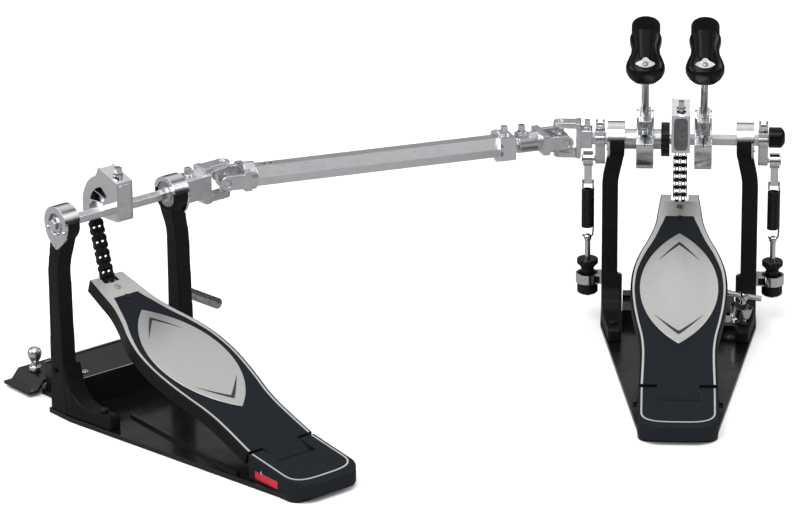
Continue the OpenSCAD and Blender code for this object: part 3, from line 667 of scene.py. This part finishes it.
def rim_shells(high):
    """The silver frame: a solid area round the toe notch, and a band down each edge."""
    low = TREAD_H - 0.3
    top = TREAD_H + high
    d = np.arange(0.9, GRIP_START + 0.1, 1.35)
    shells = []
    for s in (-1, 1):
        inner = np.where(d < 13, 9.4, 0.0)
        shells.append(strip(np.column_stack([s * rim_outside(d), BOARD_LEN - d]),
                            np.column_stack([s * inner, BOARD_LEN - d]), low, top))
        e = np.linspace(GRIP_START, SHOULDER - 1, 180)
        shells.append(strip(np.column_stack([s * rim_outside(e), BOARD_LEN - e]),
                            np.column_stack([s * rim_inside(e), BOARD_LEN - e]), low, top))
    return joined(shells)


def grip_outline():
    """Outline of the grip: inside the rim, round the shoulders and down the hinge tongue."""
    e = np.linspace(GRIP_START + 0.3, SHOULDER - 1, 150)
    right = np.column_stack([rim_inside(e) - 0.15, BOARD_LEN - e])
    tongue = np.array([[TONGUE_HALF - 0.4, BOARD_LEN - SHOULDER + 1], [TONGUE_HALF - 0.4, 1.5]])
    half = np.concatenate([right, tongue])
    mirrored = half[::-1] * (-1, 1)
    return np.concatenate([half, mirrored])


def chevron(end, reach, drop, heavy):
    """A dark swallow's mark near one end of the badge: two arms that follow the badge's edge
    and thin out to points."""
    u = np.linspace(-1, 1, 61)
    tip = BADGE_LEN / 2 - 14
    x = u * reach
    outer = tip - drop * np.abs(u) ** 1.12
    inner = outer - heavy * (1 - np.abs(u) ** 1.3) - 0.05
    middle = BOARD_LEN - BADGE_TOP - BADGE_LEN / 2
    a = np.column_stack([x, middle + end * outer])
    b = np.column_stack([x * 0.985, middle + end * inner])
    top = TREAD_H + 0.66
    return strip(a, b, top - 0.3, top)


def groove_ridges():
    """Two faint V-shaped ridges in the grip under the badge."""
    shells = []
    for apex, reach, rise in ((252, 22, 30), (268, 17, 33)):
        for s in (-1, 1):
            u = np.linspace(0, 1, 12)
            x = s * reach * u
            y = BOARD_LEN - apex + rise * u**0.9
            centre = np.column_stack([x, y])
            wide = 0.5 * (1.2 - u)[:, None]
            shells.append(strip(centre + wide * (0, 1), centre - wide * (0, 1), TREAD_H, TREAD_H + 0.5))
    return joined(shells)


class PEDAL_OT_footboards(bpy.types.Operator):
    """Rounds the footboards' castings and adds the rims, grips and badge marks"""

    bl_idname = "pedal.footboards"
    bl_label = "Footboards"

    def toe_clamp(self, side):
        """The toe plate with its two screws: steel in the silver, black in the grip."""
        to_board = np.linalg.inv(board_frame(side)) @ pedal_frame(side)

        def head(points, in_silver):
            """Points of one of the two screws' heads."""
            on_board = points @ to_board[:3, :3].T + to_board[:3, 3]
            return (on_board[:, 2] > TREAD_H) & ((on_board[:, 1] > BOARD_LEN - BETWEEN_SCREWS) == in_silver)

        heads = [(finish("bearing_steel_and_dark_reflection"), lambda c: head(c, True)), (finish("spring_steel"), lambda c: head(c, False))]
        dressed(side + "_toe_clamp", finish("silver_trim"), 0.2 * MM, heads)

    def execute(self, context):
        sizes = context.scene.pedal_sizes
        for side in SIDES:
            at = board_frame(side)
            body = BOARD_BODY[side]
            dressed(side + "_footboard", finish("powder_black"), 1.4 * MM)
            dressed(side + "_badge", finish("brushed_badge"), 0.25 * MM)
            self.toe_clamp(side)
            rim = rim_shells(sizes.trim_height / MM)
            piece(side + "_silver_rim", place(rim, at), finish("silver_trim"), body, "badge_silver")
            grip = prism(grip_outline(), TREAD_H - 0.3, TREAD_H + sizes.grip_height / MM)
            piece(side + "_grip", place(grip, at), finish("grip_coat"), body, "footboard_charcoal", 0.15 * MM)
            piece(side + "_grip_ridges", place(groove_ridges(), at), finish("grip_coat"), body,
                  "footboard_charcoal")
            marks = joined([chevron(1, 22, 30, 5.6), chevron(-1, 26, 31, 5.8)])
            piece(side + "_badge_marks", place(marks, at), finish("badge_ink"), body, "badge_silver")
        return {"FINISHED"}


# ---- heel plates ----


class PEDAL_OT_heels(bpy.types.Operator):
    """Rounds the heel plates and inlays the silver line that runs on from the rim"""

    bl_idname = "pedal.heels"
    bl_label = "Heel plates"

    def heel_line(self, side):
        """The silver line on the heel: back along each edge and round the end in one curve."""
        low_y, high_y = -328.0, -269.2
        u = np.linspace(0, 1, 12)
        t = np.linspace(0, pi, 40)
        right = np.column_stack([np.full(12, 37.9), high_y + (low_y + 9 - high_y) * u])
        bend = np.column_stack([37.9 * np.sign(np.cos(t)) * np.abs(np.cos(t)) ** 0.55,
                                low_y + 9 - 20 * np.sin(t) ** 0.8])
        left = right[::-1] * (-1, 1)
        centre = np.concatenate([right, bend[1:-1], left])
        along = np.gradient(centre, axis=0)
        normal = np.column_stack([-along[:, 1], along[:, 0]])
        normal /= np.linalg.norm(normal, axis=1)[:, None]
        shell = strip(centre + 0.95 * normal, centre - 0.95 * normal, 0, 0.6)
        points, faces = shell
        slope = np.tan(radians(7.3))
        points = points + np.column_stack(
            [np.zeros(len(points)), np.zeros(len(points)), 19.35 + (points[:, 1] + 351) * slope])
        return place((points, faces), pedal_frame(side))

    def execute(self, context):
        red = [(finish("heel_key"), lambda c: (c[:, 0] < -37.05) & (c[:, 0] > -41.05)
                & (np.abs(c[:, 1] + 294.7) < 18.4) & (c[:, 2] > 7.05) & (c[:, 2] < 15.85))]
        for side in SIDES:
            extra = red if side == "remote" else ()
            dressed(side + "_heel_plate", finish("grip_coat"), 1.1 * MM, extra)
            body = "main_frame" if side == "main" else "remote_frame"
            piece(side + "_heel_line", self.heel_line(side), finish("silver_trim"), body, "badge_silver")
        return {"FINISHED"}


# ---- castings and turned parts ----

# Node, finish and edge round in millimetres for what keeps its shape from the frame.
CASTINGS = (
    ("main_base_plate", "black_enamel", 0.9), ("remote_base_plate", "black_enamel", 0.9),
    ("main_front_bridge", "black_enamel", 0.9), ("remote_outrigger", "black_enamel", 0.7),
    ("left_tension_nut", "spring_steel", 0.3),
    ("right_tension_nut", "spring_steel", 0.3), ("hoop_clamp_jaw", "chrome", 0.5),
    ("hoop_wing_bolt", "chrome", 0.4), ("main_cam_shaft", "cast_metal", 0.4),
    ("remote_cam_shaft", "cast_metal", 0.4), ("main_cam", "chrome", 0.5), ("remote_cam", "chrome", 0.5),
    ("main_chain_wrap", "black_chain", 0.0), ("main_chain_upper", "black_chain", 0.0),
    ("main_chain_middle", "black_chain", 0.0), ("main_chain_run", "black_chain", 0.0),
    ("remote_chain_upper", "black_chain", 0.0), ("remote_chain_middle", "black_chain", 0.0),
    ("remote_chain_run", "black_chain", 0.0), ("shaft_end_cap", "black_plastic", 0.6),
    ("right_beater_rod", "chrome", 0.4), ("left_beater_rod", "chrome", 0.4),
    ("right_spring_clip", "chrome", 0.4), ("left_spring_clip", "chrome", 0.4),
    ("drive_tube", "drawn_tube", 0.8), ("main_cross", "cast_metal", 0.6), ("remote_cross", "cast_metal", 0.6),
    # The remote tuning key is chrome; it takes the darker bearing steel as a painted dark reflection.
    ("remote_thumb_screw", "satin_chrome", 0.5), ("remote_tuning_key", "bearing_steel_and_dark_reflection", 0.5),
)

# Node, finish, bolts' finish, grid in millimetres and smoothing passes for the melted castings.
MELTED = (
    ("right_beater_hub", "satin_chrome", "chrome", 0.5, 3), ("left_beater_hub", "satin_chrome", "chrome", 0.5, 3),
    ("right_spring_arm", "satin_chrome", "chrome", 0.5, 3), ("left_spring_arm", "satin_chrome", "chrome", 0.5, 3),
    ("sleeve_yoke", "cast_metal", "chrome", 0.6, 9), ("drive_rod", "cast_metal", "chrome", 0.6, 7),
    ("drive_tube_yoke", "cast_metal", "chrome", 0.6, 9), ("remote_shaft_yoke", "cast_metal", "chrome", 0.6, 9),
    ("main_post_left", "powder_black", "spring_steel", 0.9, 14),
    ("main_post_right", "powder_black", "spring_steel", 0.9, 14),
    ("remote_posts", "powder_black", "spring_steel", 0.9, 14),
)


class PEDAL_OT_castings(bpy.types.Operator):
    """Rounds the edges of the cast, turned and bent parts and gives each its finish"""

    bl_idname = "pedal.castings"
    bl_label = "Castings"

    def execute(self, context):
        for node, name, width in CASTINGS:
            dressed(node, finish(name), width * MM)
        for node, name, bolt_name, voxel, passes in MELTED:
            cast(node, finish(name), finish(bolt_name), voxel, passes)
        def insert_and_pocket_shade(c):
            """The moulded insert of a spring bracket, and the pocket in its lug painted black as painted shade."""
            out = np.hypot(np.abs(c[:, 0]) - SPRING_X[int(c[0, 0] > 0)], c[:, 1])
            # Painted shade: the pocket's faces take the black finish to stand in for the shadow inside it.
            pocket_shade = (np.abs(c[:, 0]) > 75) & (out > 3.3) & (c[:, 1] > -9.2) & (c[:, 1] < -5.9) & (
                c[:, 2] > 46) & (c[:, 2] < 54) & (np.abs(c[:, 0]) < 97)
            return ((out > 3.2) & (out < 11.45) & (c[:, 2] > 31.9) & (c[:, 2] < 54.7)) | pocket_shade

        # Spring holders: chrome, with a black moulded insert and a pocket painted black as painted shade.
        for node in ("left_spring_holder", "right_spring_holder"):
            dressed(node, finish("chrome"), 0.35 * MM, [(finish("spring_steel"), insert_and_pocket_shade)])
        races = [(finish("bearing_steel_and_dark_reflection"), lambda c: (np.hypot(c[:, 1], c[:, 2] - AXLE_H) < 14.01)
                  & (np.abs(c[:, 0]) > 61.6) & (np.abs(c[:, 0]) < 75.9))]
        for side in SIDES:
            dressed(side + "_bearing_caps", finish("chrome"), 0.5 * MM, races)
        feet = [(finish("spring_steel"), lambda c: (c[:, 2] < 60) & (c[:, 1] > -150))]
        for side in SIDES:
            dressed(side + "_frame_screws", finish("chrome"), 0.35 * MM, feet)
        collar = [(finish("spring_steel"), lambda c: (c[:, 0] > -21.4)
                   & (np.hypot(c[:, 1], c[:, 2] - AXLE_H) > 11.3))]
        dressed("left_sleeve", finish("cast_metal"), 0.3 * MM, collar)
        screw = [(finish("chrome"), lambda c: c[:, 2] > 35.01)]
        dressed("remote_front_box", finish("black_enamel"), 0.8 * MM, screw)
        return {"FINISHED"}


# ---- small fittings ----


class PEDAL_OT_fittings(bpy.types.Operator):
    """Adds the cams' front panels, and dark bands and discs as painted shade for the hubs' clamp slits and the holes in
    the drive tube
    """

    bl_idname = "pedal.fittings"
    bl_label = "Fittings"

    def panel(self):
        """Front panel of a cam: a rounded oblong standing a little proud of the casting."""
        a = np.linspace(0, 2 * pi, 40, endpoint=False)
        x = 7.6 * np.sign(np.cos(a)) * np.abs(np.cos(a)) ** 0.35
        z = 10.2 + 18.4 * np.sign(np.sin(a)) * np.abs(np.sin(a)) ** 0.35
        return place(prism(np.column_stack([x, z]), 12.9, 13.5), shift(0, 0, AXLE_H) @ turn(0, pi / 2))

    def slit_shade(self, x):
        """Painted shade of a hub's clamp slit: a narrow dark band round the front of its rim, where the gap's shadow
        falls.
        """
        a = np.linspace(radians(4), radians(32), 16)
        r = np.array([31.4, 32.12])
        points = np.stack([np.broadcast_to(x + s * 0.45 + 0 * a, a.shape) for s in (-1, 1)], 1)
        ring = [np.column_stack([points[:, i], -r[j] * np.cos(a), AXLE_H + r[j] * np.sin(a)])
                for i, j in ((0, 0), (0, 1), (1, 1), (1, 0))]
        shell = np.stack(ring, 1).reshape(-1, 3)
        last = 4 * (len(a) - 1)
        return shell, grid_faces(len(a), 4, wrap_columns=True) + [[0, 1, 2, 3], [last, last + 1, last + 2, last + 3]]

    def execute(self, context):
        for side, name in (("main", "dull_steel"), ("remote", "cast_metal")):
            piece(side + "_cam_panel", place(self.panel(), pedal_frame(side)), finish(name), side + "_shaft",
                  "chrome", 0.3 * MM)
        # Painted shade: a dark band on each hub's rim stands for the shadow in its clamp slit.
        for side, body in (("left", "sleeve"), ("right", "main_shaft")):
            low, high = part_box(side + "_beater_hub")
            piece(side + "_hub_slit_shade", self.slit_shade((low[0] + high[0]) / 2 / MM), finish("spring_steel"), body, "chrome")
        # Painted shade: each hole in the drive tube is a short black disc at the tube's top, standing for the shadow
        # inside it; no hole is cut.
        start = joint_point("drive_tube_turn")
        axis = np.array(JOINTS["drive_tube_turn"]["axis"])
        shade_dots = []
        for along in (46, 53):
            hole_shade = lathe([[0, -0.5], [1.5, -0.5], [1.5, 0.12], [0, 0.12]], 20)
            spot = start + axis * along
            shade_dots.append(place(hole_shade, shift(spot[0], spot[1], spot[2] + 11)))
        piece("drive_tube_hole_shade", joined(shade_dots), finish("spring_steel"), "drive_tube_body", "satin_aluminium")
        return {"FINISHED"}


# ---- springs ----


class PEDAL_OT_springs(bpy.types.Operator):
    """Winds each spring with its end loops, from its eye bolt up to its hook"""

    bl_idname = "pedal.springs"
    bl_label = "Springs"

    def wire_path(self, turns, low, high, eye, hook):
        """One wire: a loop through the eye bolt, a helix, and a loop up to the hook."""
        r = 6.2
        t = np.linspace(0, 1, turns * 20)
        helix = np.column_stack([r * np.cos(2 * pi * turns * t), r * np.sin(2 * pi * turns * t),
                                 low + (high - low) * t])
        a = np.linspace(-pi * 0.9, 0, 22)
        foot = np.column_stack([5.6 * np.cos(a), np.zeros(22), eye + 5 + 5.2 * np.sin(a)])
        foot = np.concatenate([foot, [[5.7, 0, eye + 8], [6.1, 0, low - 1]]])
        b = np.linspace(0, pi * 0.9, 22)
        head = np.column_stack([5.6 * np.cos(b), np.zeros(22), hook - 5 + 5.2 * np.sin(b)])
        head = np.concatenate([[[6.1, 0, high + 1]], head])
        return np.concatenate([foot, helix, head])

    def execute(self, context):
        sizes = context.scene.pedal_sizes
        radius = sizes.wire_radius / MM
        for side in ("left", "right"):
            node = side + "_spring_coil"
            eye = joint_point(side + "_spring_lean")
            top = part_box(node)[1][2] / MM
            path = self.wire_path(sizes.coil_turns, top - 45, top - 1, eye[2], top + 9) + (eye[0], 0, 0)
            coil = piece(node + "_look", tube(path, radius, 8), finish("spring_steel"), None, "spring_black",
                         angle=60)
            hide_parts(node)
            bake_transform(coil)
        return {"FINISHED"}


# ---- beater heads ----


class PEDAL_OT_beaters(bpy.types.Operator):
    """Builds the two beater heads: moulded body, felt face, window and saddle"""

    bl_idname = "pedal.beaters"
    bl_label = "Beater heads"

    STATIONS = np.array([[-14.6, 0.0], [-14.4, 7.0], [-13.2, 12.6], [-9.6, 17.6], [-4.0, 20.6],
                         [1.5, 20.8], [8.0, 18.7], [15.0, 15.7], [23.0, 14.9], [30.0, 16.6],
                         [35.5, 17.2], [39.6, 15.8], [40.4, 14.4], [41.0, 0.0]])

    def body(self):
        """Moulded body: at each station along Y a rounded oblong whose half-width comes from a
        smooth line through the stations, and whose half-height is held to a flat back."""
        y0, w0 = self.STATIONS.T
        s0 = np.concatenate([[0], np.cumsum(np.hypot(np.diff(y0), np.diff(w0)))])
        s = np.linspace(0, s0[-1], 90)
        y, w = np.interp(s, s0, y0), np.interp(s, s0, w0)
        kernel = np.array([1, 2, 3, 2, 1]) / 9
        y[2:-2], w[2:-2] = np.convolve(y, kernel, "valid"), np.convolve(w, kernel, "valid")
        h = np.minimum(w, 13.4)
        a = np.linspace(0, 2 * pi, 64, endpoint=False)
        power = 0.78
        cx = np.sign(np.cos(a)) * np.abs(np.cos(a)) ** power
        cz = np.sign(np.sin(a)) * np.abs(np.sin(a)) ** power
        points = np.stack([w[:, None] * cx, np.repeat(y[:, None], 64, 1), h[:, None] * cz], -1)
        return points.reshape(-1, 3), grid_faces(90, 64, wrap_columns=True)

    def felt(self):
        """Felt face: a short round drum with a well rounded front, turned to lie along Y."""
        t = np.linspace(0, pi / 2, 10)
        edge = np.column_stack([10.6 + 4.6 * np.cos(t), 52.2 + 4.8 * np.sin(t)])
        profile = np.concatenate([[[0, 38.4], [14.6, 38.4], [15.2, 40.0]], edge, [[0, 57.0]]])
        return place(lathe(profile, 56), turn(0, -pi / 2))

    def saddle(self):
        """Raised panel down the middle of the back, ending in the window."""
        u = np.linspace(-1, 1, 15)
        v = np.linspace(0, 1, 20)
        across, along = np.meshgrid(u, v, indexing="ij")
        x = across * (7.4 + 1.6 * along)
        y = 3.5 + 36.0 * along
        z = 13.3 + 1.3 * (1 - across**4)
        lid = np.stack([x, y, z], -1).reshape(-1, 3)
        under = lid - (0, 0, 3)
        n = len(lid)
        faces = grid_faces(15, 20)
        rim = ([i * 20 for i in range(15)] + [14 * 20 + j for j in range(1, 20)]
               + [i * 20 + 19 for i in range(13, -1, -1)] + list(range(18, 0, -1)))
        walls = [[a, b, b + n, a + n] for a, b in zip(rim, rim[1:] + rim[:1])]
        return np.concatenate([lid, under]), faces + [[i + n for i in f] for f in faces] + walls

    def window(self):
        """Lens-shaped chrome plate where the rod comes through."""
        t = np.linspace(-1, 1, 25)
        half = 4.9 * (1 - t**2) ** 0.8
        outline = np.concatenate([np.column_stack([10.6 * t, half]), np.column_stack([10.6 * t, -half])[::-1][1:-1]])
        return prism(outline - (0, 3.6), 12.2, 14.4)

    def rod_end(self):
        """Domed end of the rod, seen in the window."""
        t = np.linspace(0, pi / 2, 7)
        dome = np.column_stack([3.4 * np.cos(t), 14.2 + 1.2 * np.sin(t)])
        return place(lathe(np.concatenate([[[0, 12.0], [3.4, 12.0]], dome]), 28), shift(0, -3.6, 0))

    def execute(self, context):
        for side in ("left", "right"):
            node = side + "_beater_head"
            low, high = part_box(node)
            at = head_frame((low[0] + high[0]) / 2 / MM)
            body = side + "_beater"
            head = piece(node + "_look", place(self.body(), at), finish("black_plastic"), body, "black_plastic", angle=60)
            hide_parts(node)
            piece(side + "_beater_saddle", place(self.saddle(), at), finish("black_plastic"), body,
                  "black_plastic", 0.4 * MM)
            piece(side + "_beater_felt", place(self.felt(), at), finish("black_felt"), body, "black_plastic", angle=60)
            piece(side + "_beater_window", place(self.window(), at), finish("chrome"), body, "chrome", 0.3 * MM)
            piece(side + "_beater_rod_end", place(self.rod_end(), at), finish("dull_steel"), body, "chrome")
        return {"FINISHED"}


# ---- studio ----


class PEDAL_OT_stage(bpy.types.Operator):
    """Sets the camera, the floor and soft studio light"""

    bl_idname = "pedal.stage"
    bl_label = "Studio"

    def camera(self, context):
        """The camera, from its place, its angles, its focal length and its shift."""
        data = bpy.data.cameras.new("camera")
        data.sensor_width = 36
        data.lens = 201.0
        data.shift_x = -0.24672
        data.clip_end = 60
        view = bpy.data.objects.new("camera", data)
        context.scene.collection.objects.link(view)
        yaw, pitch, roll = radians(-0.89), radians(-20.65), radians(0.42)
        forward = np.array([sin(yaw) * cos(pitch), cos(yaw) * cos(pitch), sin(pitch)])
        right = np.cross(forward, (0, 0, 1))
        right /= np.linalg.norm(right)
        up = np.cross(right, forward)
        right, up = right * cos(roll) + up * sin(roll), up * cos(roll) - right * sin(roll)
        m = np.eye(4)
        m[:3, :3] = np.column_stack([right, up, -forward])
        m[:3, 3] = (-0.01829, -4.5636, 1.79424)
        view.matrix_world = Matrix(m.tolist())
        context.scene.camera = view

    def floor(self, context):
        """A wide pale floor, which bright metal sees as a darker one."""
        tone = context.scene.pedal_stage.floor_tone
        f = Finish("pale_floor", (tone, tone, tone), 0.8)
        f.shader.inputs["Specular IOR Level"].default_value = 0.0
        path = f.nodes.new("ShaderNodeLightPath")
        mix = f.nodes.new("ShaderNodeMix")
        mix.data_type = "RGBA"
        f.link(path.outputs["Is Glossy Ray"], mix.inputs["Factor"])
        mix.inputs[6].default_value = (tone, tone, tone, 1)
        mix.inputs[7].default_value = (0.27, 0.27, 0.27, 1)
        f.link(mix.outputs[2], f.shader.inputs["Base Color"])
        mesh = bpy.data.meshes.new("floor")
        s = 14.0
        mesh.from_pydata([(-s, -s, 0), (s, -s, 0), (s, s, 0), (-s, s, 0)], [], [(0, 1, 2, 3)])
        mesh.materials.append(f.material)
        ground = bpy.data.objects.new("floor", mesh)
        context.scene.collection.objects.link(ground)
        ground.location.z = -0.0005

    def lamp(self, context, name, place_m, aim, size, power):
        """A square soft lamp at a place, aimed at a point."""
        data = bpy.data.lights.new(name, "AREA")
        data.size = size
        data.energy = power
        lamp = bpy.data.objects.new(name, data)
        context.scene.collection.objects.link(lamp)
        away = np.array(place_m, float) - np.array(aim, float)
        lamp.location = place_m
        lamp.rotation_euler = Vector(away).to_track_quat("Z", "Y").to_euler()

    def ramp(self, nodes, stops):
        """A colour ramp in greys through (position, tone) stops."""
        ramp = nodes.new("ShaderNodeValToRGB")
        elements = ramp.color_ramp.elements
        elements[0].position, elements[1].position = stops[0][0], stops[-1][0]
        elements[0].color, elements[1].color = (*[stops[0][1]] * 3, 1), (*[stops[-1][1]] * 3, 1)
        for position, tone in stops[1:-1]:
            elements.new(position).color = (tone, tone, tone, 1)
        return ramp

    def sky(self, context):
        """White to the eye and to dull surfaces. Bright metal mirrors a darker room instead:
        a dark horizon, a wide soft box overhead and darker side walls."""
        world = bpy.data.worlds.new("studio")
        context.scene.world = world
        world.use_nodes = True
        nodes, link = world.node_tree.nodes, world.node_tree.links.new
        background = nodes["Background"]
        where = nodes.new("ShaderNodeTexCoord")
        split = nodes.new("ShaderNodeSeparateXYZ")
        link(where.outputs["Generated"], split.inputs[0])
        rise = self.ramp(nodes, ((0.0, 0.05), (0.12, 0.04), (0.3, 0.1), (0.5, 0.6), (0.74, 0.84),
                                 (0.88, 1.0), (1.0, 0.7)))
        link(split.outputs["Z"], rise.inputs["Fac"])
        across = nodes.new("ShaderNodeMapRange")
        across.inputs["From Min"].default_value = -1.0
        link(split.outputs["X"], across.inputs["Value"])
        walls = self.ramp(nodes, ((0.0, 0.2), (0.12, 1.5), (0.24, 0.12), (0.36, 0.8), (0.5, 1.05), (0.62, 0.7),
                                  (0.74, 0.1), (0.86, 1.6), (1.0, 0.2)))
        link(across.outputs["Result"], walls.inputs["Fac"])
        room = nodes.new("ShaderNodeMix")
        room.data_type = "RGBA"
        room.blend_type = "MULTIPLY"
        room.inputs["Factor"].default_value = 1.0
        link(rise.outputs["Color"], room.inputs[6])
        link(walls.outputs["Color"], room.inputs[7])
        path = nodes.new("ShaderNodeLightPath")
        mix = nodes.new("ShaderNodeMix")
        mix.data_type = "RGBA"
        link(path.outputs["Is Glossy Ray"], mix.inputs["Factor"])
        mix.inputs[6].default_value = (0.98, 0.98, 0.98, 1)
        link(room.outputs[2], mix.inputs[7])
        link(mix.outputs[2], background.inputs["Color"])

    def execute(self, context):
        settings = context.scene.pedal_stage
        self.camera(context)
        self.floor(context)
        aim = (-0.25, -0.1, 0.1)
        self.lamp(context, "key_lamp", (-0.8, -1.4, 2.6), aim, 2.2, settings.key_light)
        self.lamp(context, "left_lamp", (-2.6, -0.6, 1.2), aim, 1.4, settings.side_light)
        self.lamp(context, "right_lamp", (2.2, 0.2, 1.5), aim, 1.2, settings.side_light)
        self.sky(context)
        context.scene.view_settings.view_transform = "Standard"
        return {"FINISHED"}


# ---- add-on ----


class PEDAL_PT_panel(bpy.types.Panel):
    """Lists the pieces, the finishes and the studio"""

    bl_label = "Twin drum pedal"
    bl_idname = "PEDAL_PT_panel"
    bl_space_type = "VIEW_3D"
    bl_region_type = "UI"
    bl_category = "Pedal"

    def draw(self, context):
        layout = self.layout
        for group in (context.scene.pedal_sizes, context.scene.pedal_colours, context.scene.pedal_stage):
            for name in group.__annotations__:
                layout.prop(group, name)
        for operator in OPERATORS:
            layout.operator(operator.bl_idname)


OPERATORS = (PEDAL_OT_stage, PEDAL_OT_footboards, PEDAL_OT_heels, PEDAL_OT_castings, PEDAL_OT_fittings,
             PEDAL_OT_springs, PEDAL_OT_beaters)
CLASSES = (PedalSizes, PedalColours, StageSettings, *OPERATORS, PEDAL_PT_panel)


def register():
    for c in CLASSES:
        bpy.utils.register_class(c)
    bpy.types.Scene.pedal_sizes = PointerProperty(type=PedalSizes)
    bpy.types.Scene.pedal_colours = PointerProperty(type=PedalColours)
    bpy.types.Scene.pedal_stage = PointerProperty(type=StageSettings)


def unregister():
    del bpy.types.Scene.pedal_stage
    del bpy.types.Scene.pedal_colours
    del bpy.types.Scene.pedal_sizes
    for c in reversed(CLASSES):
        bpy.utils.unregister_class(c)


def main():
    register()
    for operator in OPERATORS:
        group, name = operator.bl_idname.split(".")
        getattr(getattr(bpy.ops, group), name)()


if __name__ == "__main__":
    main()
